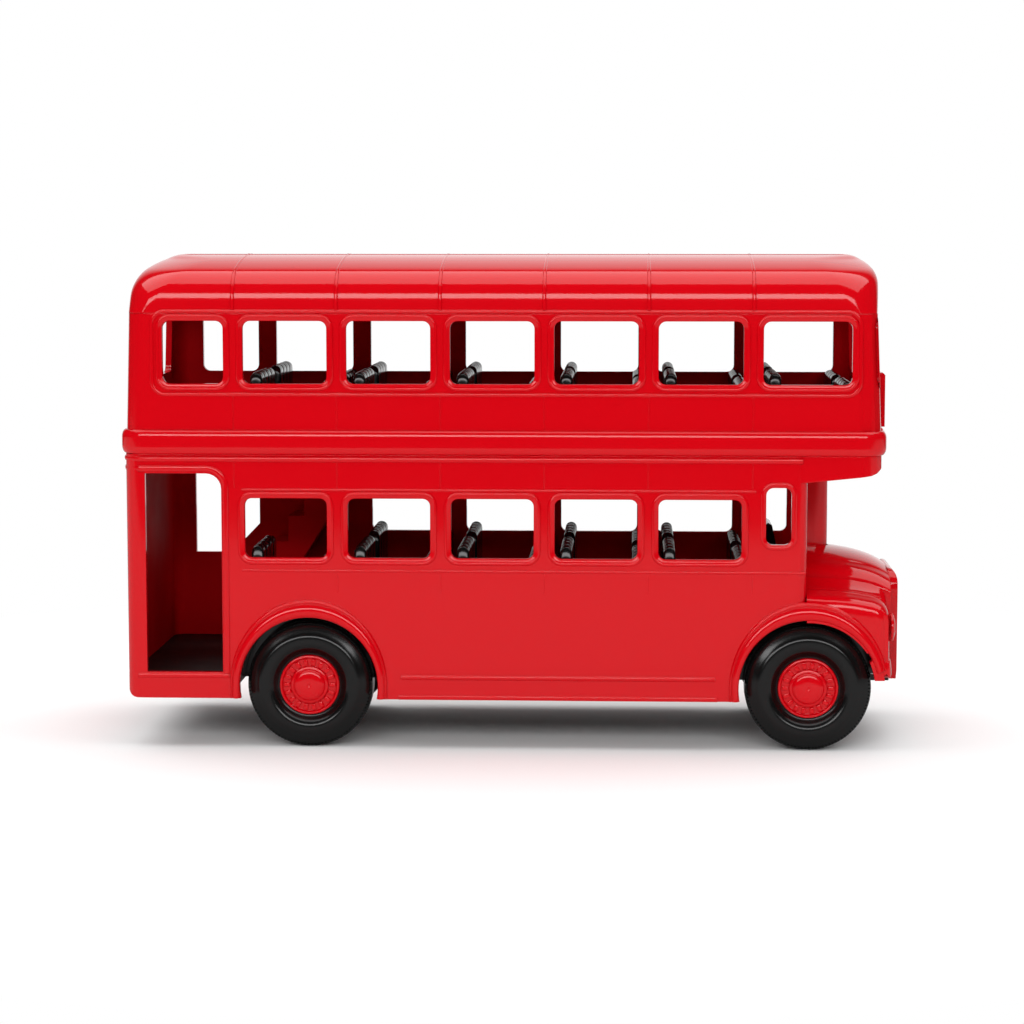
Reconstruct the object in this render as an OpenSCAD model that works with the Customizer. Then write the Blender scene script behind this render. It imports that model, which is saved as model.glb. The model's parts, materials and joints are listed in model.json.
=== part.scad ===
// Toy double decker bus with a half cab and an open rear platform.
// The front is +X, the platform side is -Y and up is +Z. The origin is on the
// floor, under the middle of the bus. All sizes are in millimetres.

/* [Overall] */
// Length from the back of the waist band to the face of the radiator
body_l = 307.2; // [256:0.2:369]
// Width over the flat body sides
body_w = 104; // [86:1:126]
// Thickness of the moulded body walls
wall_t = 2.5; // [2:0.1:3]
// Gap between pieces that are pushed together
fit = 0.15; // [0.1:0.05:0.3]

/* [Wheels] */
// Radius of the tyres
wheel_r = 24.8; // [20.6:0.1:29.8]
// Width of a tyre
tyre_w = 14; // [11:0.5:17]
// Radius of the hub, and of the hole in the tyre
hub_r = 11.9; // [9.9:0.1:14.3]
// Radius of the steel axles
axle_r = 2; // [1.5:0.1:2.5]
// Running clearance of an axle in its bearings
axle_clear = 0.05; // [0.02:0.01:0.1]
// Gap between a tyre and its arch
arch_gap = 2.5; // [1.5:0.1:3.5]
// Distance from the body side in to the face of a tyre
wheel_inset = 2; // [1:0.5:4]
// Rear axle, from the back of the bus
rear_axle_in = 74.1; // [66:0.1:88]
// Front axle, from the front of the bus
front_axle_in = 37; // [34:1:44]

/* [Lower deck] */
// Drop of the skirt below the axles
skirt_drop = 5; // [2:0.5:6]
// Platform floor, above the skirt
platform_h = 10.35; // [9:0.5:12.5]
// Sill of the lower windows, above the skirt
lower_sill_h = 55.7; // [46:1:60]
// Height of the lower windows
lower_window_h = 23.7; // [19:1:28]
// Pillar between two lower windows
lower_pillar_w = 7.9; // [6:0.5:10]
// Length of the side that is ahead of the last roof rib
cab_end_l = 21.4; // [19:1:26]
// Width of the rear platform doorway
door_l = 30; // [25:1:31]

/* [Upper deck] */
// Underside of the waist band, above the skirt
band_h = 96.4; // [94:1:116]
// Height of the waist band
band_tall = 9.6; // [8:0.5:12]
// How far the waist band stands out
band_out = 1.8; // [1.4:0.1:2.2]
// Sill of the upper windows, above the waist band
upper_sill_h = 17.9; // [15:1:22]
// Height of the upper windows
upper_window_h = 24.7; // [20:1:30]
// Pillar between two upper windows
upper_pillar_w = 7.4; // [6:0.5:9]
// Length of the short rear window
rear_window_l = 24; // [20:1:26]
// Length of the foremost side window
front_window_l = 34.4; // [28:1:35]
// Crown of the roof, above the gutter
roof_rise = 21.7; // [18:1:26]

/* [Bays] */
// Back of the bus to the first roof rib
rear_bay = 45.35; // [42:0.05:52]
// Last roof rib to the face of the radiator
front_bay = 59.5; // [58:1:72]

/* [Nose] */
// Crown of the bonnet, above the axles
bonnet_h = 51.6; // [47:1:56]
// Top of the wings, above the axles
wing_h = 38.2; // [36:0.5:42]
// Width of the radiator
radiator_w = 44; // [37:1:46]
// Radius of a headlamp
lamp_r = 5.5; // [4.5:0.1:6.6]

/* [Seats] */
// Thickness of a seat back
seat_back_t = 4.7; // [3.9:0.1:5.7]
// Width of the aisle
aisle_w = 17; // [14:1:21]
// Height of the upper seat backs, above their sill
seat_peep = 4.4; // [3:0.2:6]

/* [Hidden] */
$fn = 96;

bus_red = [0.79, 0.02, 0.06];
moulding_black = [0.06, 0.05, 0.05];
steel = [0.70, 0.71, 0.73];

// Ends, sides and the places along the bus
near = -1;
far = 1;
half_w = body_w/2;
inner_y = half_w - wall_t;
rear_end = -body_l/2;
front_end = body_l/2;
rear_x = rear_end + band_out;
radiator_t = 3.7;
n_bays = 5;
first_rib = rear_end + rear_bay;
last_rib = front_end - front_bay;
pitch = (last_rib - first_rib)/n_bays;
lower_front = last_rib + cab_end_l;
nose_x = front_end - radiator_t;
upper_front = front_end - 7.6;
rear_axle_x = rear_end + rear_axle_in;
front_axle_x = front_end - front_axle_in;

// Levels
head_rail = 3.6;
axle_z = wheel_r;
skirt_z = axle_z - skirt_drop;
floor_z = skirt_z + platform_h;
lower_sill = skirt_z + lower_sill_h;
lower_head = lower_sill + lower_window_h;
band_z = skirt_z + band_h;
band_top = band_z + band_tall;
upper_sill = band_top + upper_sill_h;
upper_head = upper_sill + upper_window_h;
gutter_z = upper_head + head_rail;
crown_z = gutter_z + roof_rise;

// Body shell: plan corners, the bow of the front in plan, the lean of the two
// ends in degrees and the roof's rounding as [along, up]
corner_r = 9;
lower_corner_r = 7;
front_edge_r = 4;
bow_a = 4;
bow_r = (half_w - corner_r)/sin(bow_a) + corner_r;
front_lean_a = 2.4;
rear_lean_a = 1.7;
front_lean = (gutter_z - band_z)*tan(front_lean_a);
rear_lean = (gutter_z - band_z)*tan(rear_lean_a);
rear_curve = [22, 20.5];
front_curve = [10, 19];
shoulder_r = 13;
shoulder_a = 75;
crown_r = shoulder_r + (half_w - shoulder_r)/cos(shoulder_a);
shoulder_z = crown_z - crown_r + (crown_r - shoulder_r)*sin(shoulder_a);
crown_over = 0.6;
rib_half = 0.9;
rib_out = 0.45;
bead_half = 0.8;
band_r = 1.7;
deck_t = 2;
window_r = 3;
front_pillar_w = 6;
touch = 0.02;
door_post = 5.05;
door_r = 6;
skirt_r = 4;
end_sash = 5.2;
facia = 3.3;

// Wheels, their wells and the bearings
wheel_face = half_w - wheel_inset;
arch_r = wheel_r + arch_gap;
well_t = 1.6;
well_r = arch_r + well_t;
well_gap = 1.5;
well_y = wheel_face - tyre_w - well_gap - well_t;
flare = [arch_r + 3.8, arch_r + 7.2];
flare_out = 1.4;
boss_l = 10;
boss_half = 6;
boss_drop = 4.6;
pan_t = 2.5;
pan_top = floor_z - deck_t;
screw_r = 2.6;
screw_head_t = 1.4;
screw_sunk = 0.1;
shank_r = 1.2;

// Cab, canopy, bonnet and wings
cab_front = lower_front + 11.7;
cab_z = axle_z + well_r + fit;
cab_r = 6;
soffit_z = lower_head + 6.2;
soffit_slope = 0.129;
wing_front = nose_x - 1.1;
wing_slope = 0.155;
wing_r = 8;
wing_low = floor_z - 1.55;
bonnet_drop = 5;
lamp_z = axle_z + 23.5;
box_top = upper_sill + 3.6;
box_w = 46;
box_out = 1.4;
// Rounded lower front of the canopy: how far back from its face, and how far up
canopy_nose = [[9, 0], [6, 0.4], [3.6, 1.3], [1.6, 3], [0.4, 5], [0, 7]];
end_window_w = 84;
plate_w = 24;
plate_h = 8;

// Stairs and seats
stair_w = 22;
stair_l = 54;
stair_x = first_rib - 16;
stair_steps = 8;
row_ahead = 8.5;
row_behind = 4;
row_step = 3.2;
row_front = 15.4;
rail_drop = 12;
cushion_l = 17;
bench_t = 2.2;
upper_seat_z = band_z + 2*deck_t;
seat_gap = 1.2;
seat_out = inner_y - 1;
seat_w = (seat_out - aisle_w/2 - seat_gap)/2;

// The x of roof rib i; the numbers go on past the last rib
function rib_x(i) = first_rib + i*pitch;

// Points of an elliptical arc from angle a to angle b in n steps
function arc(cx, cy, rx, ry, a, b, n) =
    [for (i = [0:n]) let (t = a + (b - a)*i/n) [cx + rx*cos(t), cy + ry*sin(t)]];

// A rectangle with rounded corners
function round_rect(x0, y0, x1, y1, r, n = 4) = concat(
    arc(x1 - r, y1 - r, r, r, 0, 90, n), arc(x0 + r, y1 - r, r, r, 90, 180, n),
    arc(x0 + r, y0 + r, r, r, 180, 270, n), arc(x1 - r, y0 + r, r, r, 270, 360, n));

// Plan of the upper deck, grown by g: round corners and a front that bows forward.
// over is added to the far end of each plan, so that a tilted end can be cut alone.
function front_plan(g, over = 0) = let (cx = upper_front - bow_r + (bow_r - corner_r)*cos(bow_a),
    cy = half_w - corner_r, r = corner_r + g) concat(
    arc(cx, -cy, r, r, -90, -bow_a, 6),
    arc(upper_front - bow_r, 0, bow_r + g, bow_r + g, -bow_a, bow_a, 8),
    arc(cx, cy, r, r, bow_a, 90, 6),
    [[-over, half_w + g], [-over, -half_w - g]]);
function rear_plan(g, over = 0) = let (r = corner_r + g) concat(
    arc(rear_x + corner_r, half_w - corner_r, r, r, 90, 180, 6),
    arc(rear_x + corner_r, corner_r - half_w, r, r, 180, 270, 6),
    [[over, -half_w - g], [over, half_w + g]]);
function upper_plan(g) = concat(
    [for (p = rear_plan(g)) if (p[0] < 0) p], [for (p = front_plan(g)) if (p[0] > 0) p]);

// How far the bowed front has fallen back at y
function bow_drop(y) = bow_r - sqrt(bow_r*bow_r - y*y);

// Side view of the roof, grown by g
function upper_side(g) = let (over = 20) concat(
    [[rear_end - over, band_z - over], [front_end + over, band_z - over],
     [front_end + over, crown_z + crown_over - front_curve[1]]],
    arc(upper_front - front_lean - front_curve[0], crown_z + crown_over - front_curve[1],
        front_curve[0] + g, front_curve[1] + g, 0, 90, 7),
    arc(rear_x + rear_lean + rear_curve[0], crown_z + crown_over - rear_curve[1],
        rear_curve[0] + g, rear_curve[1] + g, 90, 180, 8),
    [[rear_end - over, crown_z + crown_over - rear_curve[1]]]);

// Cross-section of the upper deck and roof, grown by g: a flat camber on round shoulders
function upper_section(g) = concat(
    [[-half_w - g, band_z - 5], [half_w + g, band_z - 5]],
    arc(half_w - shoulder_r, shoulder_z, shoulder_r + g, shoulder_r + g, 0, shoulder_a, 6),
    arc(0, crown_z - crown_r, crown_r + g, crown_r + g, shoulder_a, 180 - shoulder_a, 10),
    arc(shoulder_r - half_w, shoulder_z, shoulder_r + g, shoulder_r + g, 180 - shoulder_a, 180, 6));

// Plan of the lower deck, grown by g: round at the back, and on the near side at the front
function lower_plan(g) = concat(
    [[lower_front + g, half_w + g]],
    arc(rear_x + lower_corner_r, half_w - lower_corner_r,
        lower_corner_r + g, lower_corner_r + g, 90, 180, 5),
    arc(rear_x + lower_corner_r, lower_corner_r - half_w,
        lower_corner_r + g, lower_corner_r + g, 180, 270, 5),
    arc(lower_front - front_edge_r, front_edge_r - half_w,
        front_edge_r + g, front_edge_r + g, 270, 360, 4));

// Extrusions of an outline across, along and up the bus
module slab_y(outline, y0, y1) {
    translate([0, y1, 0]) rotate([90, 0, 0]) linear_extrude(y1 - y0) polygon(outline);
}
module slab_x(outline, x0, x1) {
    translate([x0, 0, 0]) rotate([90, 0, 90]) linear_extrude(x1 - x0) polygon(outline);
}
module slab_z(outline, z0, z1) {
    translate([0, 0, z0]) linear_extrude(z1 - z0) polygon(outline);
}
module block(a, b) {
    translate(a) cube(b - a);
}

// A slab across one side of the bus only, from y0 out to y1 on that side
module side_slab(side, outline, y0, y1) {
    if (side == near) slab_y(outline, -y1, -y0);
    else slab_y(outline, y0, y1);
}

// A cylinder across one side of the bus, at a place along it
module side_cylinder(side, x, z, r, y0, y1) {
    translate([x, side*y0, z]) rotate([-90*side, 0, 0]) cylinder(r = r, h = y1 - y0);
}

// The solid shape of the upper deck and roof, grown by g, between two levels
module upper_volume(g, z0, z1) {
    intersection() {
        block([rear_end - 5, -body_w, z0], [front_end + 5, body_w, z1]);
        translate([upper_front, 0, band_z]) rotate([0, -front_lean_a, 0])
            translate([-upper_front, 0, -band_z])
                slab_z(front_plan(g, body_l), band_z - 20, crown_z + 20);
        translate([rear_x, 0, band_z]) rotate([0, rear_lean_a, 0])
            translate([-rear_x, 0, -band_z])
                slab_z(rear_plan(g, body_l), band_z - 20, crown_z + 20);
        slab_y(upper_side(g), -body_w, body_w);
        slab_x(upper_section(g), rear_end - 5, front_end + 5);
    }
}

// Side windows of the upper deck: one short, one for each bay and one at the front
module upper_windows() {
    edge = upper_pillar_w/2;
    spans = concat(
        [[first_rib - edge - rear_window_l, first_rib - edge]],
        [for (i = [0:n_bays - 1]) [rib_x(i) + edge, rib_x(i + 1) - edge]],
        [[last_rib + edge, last_rib + edge + front_window_l]]);
    for (s = spans)
        slab_y(round_rect(s[0], upper_sill, s[1], upper_head, window_r), -body_w, body_w);
}

// End windows of the upper deck: one at the back and a pair at the front
module upper_end_windows() {
    slab_x(round_rect(-end_window_w/2, upper_sill, end_window_w/2, upper_head, window_r),
        rear_end - 5, rear_x + 8);
    for (side = [near, far]) {
        middle = side*(half_w - corner_r/2 + front_pillar_w/2)/2;
        half = (half_w - corner_r/2 - front_pillar_w/2)/2;
        slab_x(round_rect(middle - half, upper_sill, middle + half, upper_head, window_r),
            upper_front - bow_drop(half_w - corner_r) - front_lean - 6, front_end);
    }
}

module roof() {
    color(bus_red) {
        difference() {
            union() {
                upper_volume(0, gutter_z - bead_half, crown_z + 5);
                for (i = [0:n_bays]) intersection() {
                    slab_x(upper_section(rib_out), rib_x(i) - rib_half, rib_x(i) + rib_half);
                    block([rib_x(i) - 2, -body_w, gutter_z], [rib_x(i) + 2, body_w, crown_z + 5]);
                }
            }
            upper_volume(-wall_t, gutter_z - 5, crown_z + 5);
        }
    }
}

// Walls of the upper deck with their waist band, on a floor
module upper_body() {
    color(bus_red) difference() {
        union() {
            upper_volume(0, band_z, gutter_z - bead_half);
            intersection() {
                slab_z(upper_plan(band_out), band_z - 1, band_top + 1);
                slab_y(round_rect(rear_x - band_out, band_z, upper_front + band_out, band_top,
                    band_r, 3), -body_w, body_w);
                slab_x(round_rect(-half_w - band_out, band_z, half_w + band_out, band_top,
                    band_r, 3), rear_end - 5, front_end + 5);
            }
        }
        upper_volume(-wall_t, band_z + deck_t, gutter_z + 5);
        upper_windows();
        upper_end_windows();
    }
}

// Blind box over the cab: an upright face on the leaning front wall
module destination_box() {
    face = upper_front + box_out;
    back = upper_front - bow_drop(box_w/2) - front_lean - 1;
    bevel = 1;
    color(bus_red) difference() {
        slab_y([[back, band_top + touch], [face, band_top + touch], [face, box_top - bevel],
            [face - bevel, box_top], [back, box_top]], -box_w/2, box_w/2);
        upper_volume(touch, band_z, gutter_z);
    }
}

// One bench end: two seat backs and the cushion that carries them.
// dir is 1 for a bench that faces the front and -1 for one that faces the back.
module bench(x, side, z0, top, dir) {
    y0 = aisle_w/2;
    r = seat_back_t/2;
    cushion_z = z0 + (top - z0)*0.45;
    low = cushion_z - bench_t;
    front = x + dir*cushion_l;
    back = concat([[x + r, low]], arc(x, top - r, r, r, 0, 180, 6), [[x - r, low]]);
    rail = top - rail_drop;
    side_slab(side, [[x + r, low], [x + r, rail], [x - r, rail], [x - r, low]], y0, seat_out);
    for (k = [0, 1])
        side_slab(side, back, y0 + k*(seat_w + seat_gap), y0 + k*(seat_w + seat_gap) + seat_w);
    side_slab(side, [[x - dir*r, low], [x - dir*r, cushion_z], [front, cushion_z],
        [front, z0 - deck_t/2], [front - dir*bench_t, z0 - deck_t/2], [front - dir*bench_t, low]],
        y0, seat_out);
}

// Floor of the upper deck with its benches, back to back at every rib
module upper_deck() {
    top = upper_sill + seat_peep;
    color(moulding_black) {
        slab_z(upper_plan(-wall_t - fit - 1), band_z + deck_t, upper_seat_z);
        for (side = [near, far]) {
            for (i = [0:n_bays]) bench(rib_x(i) + row_ahead, side, upper_seat_z, top, 1);
            for (i = [1:n_bays])
                bench(rib_x(i) - row_behind, side, upper_seat_z, top - row_step, -1);
            bench(upper_front - row_front, side, upper_seat_z, top - row_step, -1);
        }
    }
}

// Raised lip round a wheel arch, as a plain disc
module arch_flare(side, x) {
    outline = concat(arc(x, axle_z, flare[0], flare[1], 0, 180, 24),
        [[x - flare[0], skirt_z], [x + flare[0], skirt_z]]);
    side_slab(side, outline, half_w - wall_t/2, half_w + flare_out);
}

// Windows and doorway of the lower deck's two sides
module lower_openings() {
    edge = lower_pillar_w/2;
    outer = half_w + 5;
    inner = half_w - 12;
    for (i = [0:n_bays - 1]) {
        pane = round_rect(rib_x(i) + edge, lower_sill, rib_x(i + 1) - edge, lower_head, window_r);
        side_slab(near, pane, inner, outer);
        if (i > 0) side_slab(far, pane, inner, outer);
    }
    // Cab end windows, the near one narrow and the far one for the driver
    side_slab(near, round_rect(last_rib + end_sash, lower_sill + 6, lower_front - 6.1,
        lower_head + 4.8, window_r), inner, outer);
    side_slab(far, round_rect(last_rib + end_sash, lower_sill + 0.5, lower_front - 2.2,
        lower_head + 4.8, window_r), inner, outer);
    // Doorway to the platform, and the window across from it over the stairs
    door_x = first_rib - door_post;
    side_slab(near, concat([[door_x - door_l, soffit_z + facia], [door_x - door_l, floor_z],
        [door_x, floor_z]], arc(door_x - door_r, soffit_z + facia - door_r, door_r, door_r, 0, 90, 6)),
        inner, outer);
    side_slab(far, [[door_x - door_l + 3.5, lower_sill - 9.6], [door_x - 11, lower_sill - 9.6],
        [door_x + 1, lower_sill + 2.8], [door_x + 1, lower_head + 4],
        [door_x - door_l + 3.5, lower_head + 4]], inner, outer);
    // Bulkhead window beside the bonnet, and the way through to the cab
    slab_x(round_rect(10 - half_w, lower_sill + 8, -8, lower_head + 2, window_r),
        lower_front - 9, front_end);
    block([lower_front - wall_t - 1, wall_t, cab_z + deck_t],
        [front_end, half_w - wall_t, soffit_z - wall_t]);
}

module lower_body() {
    color(bus_red) difference() {
        union() {
            intersection() {
                slab_z(lower_plan(0), skirt_z, band_z);
                slab_y(concat([[front_end, band_z + 1], [rear_end, band_z + 1]],
                    arc(rear_x + skirt_r, skirt_z + skirt_r, skirt_r, skirt_r, 180, 270, 5),
                    [[front_end, skirt_z]]), -body_w, body_w);
            }
            for (side = [near, far]) {
                arch_flare(side, rear_axle_x);
                intersection() {
                    arch_flare(side, front_axle_x);
                    block([rear_end, -body_w, 0], [lower_front, body_w, band_z]);
                }
            }
        }
        slab_z(lower_plan(-wall_t), skirt_z - 5, band_z + 5);
        lower_openings();
        block([lower_front - wall_t - 1, -inner_y, skirt_z - 5], [front_end, inner_y, pan_top + touch]);
        for (side = [near, far], x = [rear_axle_x, front_axle_x])
            side_cylinder(side, x, axle_z, arch_r, inner_y - 0.01, half_w + 5);
        for (side = [near, far])
            side_cylinder(side, front_axle_x, axle_z, well_r + fit, well_y - fit, inner_y);
    }
}

// Underside of the canopy, at a place along the bus
function soffit(x) = soffit_z + (x - lower_front)*soffit_slope;

// Shell that carries the upper deck on past the lower one
module canopy() {
    low = soffit(upper_front - canopy_nose[0][0]);
    outline = concat([[lower_front + touch, soffit(lower_front)]],
        [for (p = canopy_nose) [upper_front - p[0], low + p[1]]],
        [[upper_front, band_z], [lower_front + touch, band_z]]);
    color(bus_red) difference() {
        intersection() {
            slab_y(outline, -half_w, half_w);
            slab_z(upper_plan(0), 0, crown_z);
        }
        intersection() {
            slab_z(upper_plan(-wall_t), low + 2*wall_t, crown_z);
            block([lower_front + wall_t, -half_w, 0], [front_end, half_w, crown_z]);
        }
    }
}

// Stairs along the far wall, from the platform up to the ceiling
module staircase() {
    run = stair_l/stair_steps;
    rise = (band_z - floor_z - fit)/stair_steps;
    treads = [for (i = [0:stair_steps - 1], k = [0, 1])
        [stair_x + i*run, floor_z + (i + k)*rise]];
    under = [[stair_x + stair_l, floor_z + stair_steps*rise],
        [stair_x + stair_l, floor_z + (stair_steps - 1.6)*rise], [stair_x + 1.6*run, floor_z]];
    color(bus_red) difference() {
        side_slab(far, concat(treads, under), inner_y - fit - stair_w, inner_y - fit);
        side_cylinder(far, rear_axle_x, axle_z, well_r + fit, well_y - fit, half_w);
    }
}

// Black floor of the saloon and platform with its benches
module lower_deck() {
    top = lower_sill + seat_peep;
    color(moulding_black) {
        difference() {
            slab_z(lower_plan(-wall_t - fit), pan_top, floor_z);
            for (x = [rear_axle_x, front_axle_x], side = [near, far])
                side_slab(side, [[x - well_r - fit, 0], [x + well_r + fit, 0],
                    [x + well_r + fit, band_z], [x - well_r - fit, band_z]],
                    well_y - fit, half_w);
        }
        for (i = [0:n_bays - 1]) lower_bench(rib_x(i) + row_ahead, near, top, 1);
        for (i = [1:n_bays]) lower_bench(rib_x(i) - row_behind, near, top - row_step, -1);
        for (i = [1:n_bays - 1]) lower_bench(rib_x(i) + row_ahead, far, top, 1);
        for (i = [2:n_bays]) lower_bench(rib_x(i) - row_behind, far, top - row_step, -1);
    }
}

// A bench of the lower deck, cut clear of the wheel wells
module lower_bench(x, side, top, dir) {
    difference() {
        bench(x, side, floor_z, top, dir);
        for (ax = [rear_axle_x, front_axle_x])
            side_cylinder(side, ax, axle_z, well_r + fit, well_y - fit, half_w);
    }
}

// Driver's seat, raised on a pedestal behind the way into the cab
module driver_seat() {
    x = last_rib + 11;
    front = lower_front - wall_t - 1;
    y0 = 12;
    y1 = inner_y - 17;
    top = lower_sill + 8;
    color(moulding_black) slab_y([[x, floor_z + touch], [front, floor_z + touch],
        [front, floor_z + 24], [x + 6, floor_z + 25], [x, top - 1], [x - 1.5, top],
        [x - 3.5, top - 1.5]], y0, y1);
}

// Far half of the nose up to the canopy: the driver's cab
module cab() {
    outline = concat([[lower_front + touch, 0], [lower_front + touch, half_w]],
        arc(cab_front - cab_r, half_w - cab_r, cab_r, cab_r, 90, 0, 5),
        arc(cab_front - cab_r, cab_r, cab_r, cab_r, 0, -90, 5));
    room = [[lower_front - 1, wall_t], [lower_front - 1, inner_y],
        [cab_front - wall_t, inner_y], [cab_front - wall_t, wall_t]];
    color(bus_red) difference() {
        intersection() {
            slab_z(outline, cab_z, band_z);
            slab_y([[lower_front - 1, 0], [front_end, 0], [front_end, soffit(front_end) - touch],
                [lower_front - 1, soffit(lower_front - 1) - touch]], -body_w, body_w);
        }
        slab_z(room, cab_z + deck_t, soffit_z - wall_t);
        slab_x(round_rect(cab_r + 2, lower_sill + 4, half_w - cab_r - 2, lower_head + 3, window_r),
            cab_front - 6, front_end);
    }
}

// The space the cab stands in, which the bonnet and the far wing leave free
module cab_space() {
    block([lower_front - 1, -fit, cab_z - fit], [cab_front + fit, half_w + 1, crown_z]);
}

// Rounded nose over the engine bay
module bonnet() {
    top = axle_z + bonnet_h;
    side_y = well_y - fit;
    edge_y = side_y - 3;
    function crest(g) = concat([[lower_front + fit, pan_top + fit - 5], [nose_x + g, pan_top + fit - 5]],
        [[nose_x + g, top - 9.5]], arc(nose_x - 34, top - 12, 34 + g, 12 + g, 20, 90, 8),
        [[lower_front + fit, top + g]]);
    function camber(g) = concat([[-side_y - g, 0], [side_y + g, 0], [side_y + g, top - bonnet_drop - 4]],
        [[edge_y + g, top - bonnet_drop + g]],
        [for (k = [5:-1:-5]) [k*(edge_y - 2)/6, top + 0.5 + g - bonnet_drop*k*k/36]],
        [[-edge_y - g, top - bonnet_drop + g], [-side_y - g, top - bonnet_drop - 4]]);
    color(bus_red) difference() {
        intersection() {
            slab_y(crest(0), -side_y, side_y);
            slab_x(camber(0), lower_front, front_end);
            block([lower_front + fit, -half_w, pan_top + fit], [front_end, half_w, crown_z]);
        }
        intersection() {
            slab_y(crest(-wall_t), -side_y, side_y);
            slab_x(camber(-wall_t), lower_front - 1, front_end);
        }
        cab_space();
    }
}

// A front wing: a sloping block with a round shoulder, hollowed by its wheel well
module wing(side) {
    top = axle_z + wing_h;
    low = wing_low + 0.01;
    fall = (wing_front - lower_front)*wing_slope;
    profile = concat([[lower_front + fit, low], [wing_front - 4, low], [wing_front - 1, low + 2],
        [wing_front, low + 7]],
        arc(wing_front - 5, top - fall - 5, 5, 5, 0, 80, 5), [[lower_front + fit, top]]);
    section = concat([[well_y, 0], [half_w, 0]],
        arc(half_w - wing_r, top - wing_r, wing_r, wing_r, 0, 90, 6), [[well_y, top - 1]]);
    mirrored = [for (p = section) [side*p[0], p[1]]];
    color(bus_red) difference() {
        union() {
            intersection() {
                side_slab(side, profile, well_y, half_w);
                slab_x(mirrored, lower_front, front_end);
            }
            intersection() {
                arch_flare(side, front_axle_x);
                block([lower_front + fit, -body_w, wing_low], [wing_front - 1, body_w, band_z]);
            }
        }
        side_cylinder(side, front_axle_x, axle_z, well_r + fit, well_y - 1, inner_y);
        side_cylinder(side, front_axle_x, axle_z, arch_r, inner_y - 1, half_w + 5);
        if (side == far) cab_space();
    }
}

module nearside_wing() { wing(near); }
module offside_wing() { wing(far); }

// Radiator shell with a sunk core and upright slats
module radiator_grille() {
    depth = front_end - nose_x;
    half = radiator_w/2;
    low = axle_z - 0.7;
    top = axle_z + 43.8;
    frame_t = 3.6;
    sunk = 1.6;
    n_slats = 9;
    brow = [3.4, 5];
    shell = concat([[-half + 3, low], [half - 3, low], [half, low + 4]],
        arc(half - 8, top - 8, 8, 8, 0, 90, 5), arc(8 - half, top - 8, 8, 8, 90, 180, 5),
        [[-half, low + 4]]);
    core = round_rect(frame_t - half, low + 7, half - frame_t, top - 6, 5, 4);
    step = (radiator_w - 2*frame_t)/(n_slats + 1);
    color(bus_red) {
        difference() {
            intersection() {
                slab_x(shell, nose_x + touch, front_end);
                slab_y(concat([[nose_x, top + 1], [nose_x, low - 1], [front_end, low - 1]],
                    arc(front_end - brow[0], top - brow[1], brow[0], brow[1], 0, 80, 5)),
                    -half - 1, half + 1);
            }
            slab_x(core, front_end - sunk, front_end + 1);
        }
        for (k = [1:n_slats]) {
            y = frame_t - half + k*step;
            block([nose_x + depth/2, y - 0.6, low + 6.5], [front_end - 0.6, y + 0.6, top - 5.5]);
        }
    }
}

// Domed headlamps on the fronts of the wings
module headlamps() {
    y = (well_y + half_w)/2;
    dome = concat([[0, 0], [lamp_r, 0], [lamp_r, 0.8]], [[lamp_r - 0.7, 1.2], [lamp_r - 2.5, 1.8],
        [0, 2.1]]);
    color(bus_red) for (side = [near, far])
        translate([wing_front + touch, side*y, lamp_z]) rotate([0, 90, 0])
            rotate_extrude() polygon(dome);
}

// Blank plate on the back wall
module rear_number_plate() {
    z0 = lower_sill - 26;
    y0 = -half_w + 12;
    color(bus_red) slab_x(round_rect(y0, z0, y0 + plate_w, z0 + plate_h, 1, 2),
        rear_x - 1, rear_x - touch);
}

// Places of the four screws, each [x, y]
screws = [for (x = [rear_axle_x - 40, front_axle_x - 45], side = [near, far])
    [x, side*(half_w - 24)]];

// Black pan under the floor with the wheel wells and the axle bearings
module chassis() {
    low = axle_z - boss_drop;
    under = pan_top - pan_t;
    color(moulding_black) difference() {
        union() {
            slab_z(lower_plan(-wall_t - fit), under, pan_top - touch);
            block([lower_front - 8, -well_y, under], [nose_x - 0.5, well_y, pan_top - touch]);
            for (x = [rear_axle_x, front_axle_x], side = [near, far]) {
                side_cylinder(side, x, axle_z, well_r, well_y, inner_y - fit);
                block([x - boss_half, side*well_y - (side == far ? boss_l : 0), low],
                    [x + boss_half, side*well_y + (side == near ? boss_l : 0), pan_top - 1]);
            }
        }
        for (x = [rear_axle_x, front_axle_x]) {
            for (side = [near, far]) {
                side_cylinder(side, x, axle_z, arch_r, well_y + well_t, half_w + 5);
                block([x - well_r - 1, side == near ? -half_w : well_y, -well_r],
                    [x + well_r + 1, side == near ? -well_y : half_w, under]);
            }
            translate([x, half_w, axle_z]) rotate([90, 0, 0])
                cylinder(r = axle_r + axle_clear, h = body_w);
            // Slots that keep the axle clear of the pan inside and outside its bearings
            slot = [[x - boss_half, low - 1], [x + boss_half, low - 1],
                [x + boss_half, axle_z + axle_r + 0.6], [x - boss_half, axle_z + axle_r + 0.6]];
            slab_y(slot, boss_l - well_y, well_y - boss_l);
            for (side = [near, far]) side_slab(side, slot, well_y, half_w);
        }
        for (side = [near, far])
            block([front_axle_x + arch_r/2, side == near ? -half_w : well_y, skirt_z],
                [front_end, side == near ? -well_y : half_w, wing_low + fit]);
        for (s = screws) {
            translate([s[0], s[1], 0]) cylinder(r = shank_r + 0.1, h = pan_top + 5);
            translate([s[0], s[1], 0]) cylinder(r = screw_r + fit, h = under + screw_head_t);
        }
    }
}

// Cheese-head screws, their heads sunk a little below the pan's face
module chassis_screws() {
    color(steel) for (s = screws) translate([s[0], s[1], pan_top - pan_t + screw_sunk]) {
        cylinder(r = screw_r, h = screw_head_t - screw_sunk - touch);
        cylinder(r = shank_r, h = pan_t - screw_sunk - 2*touch);
    }
}

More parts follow.
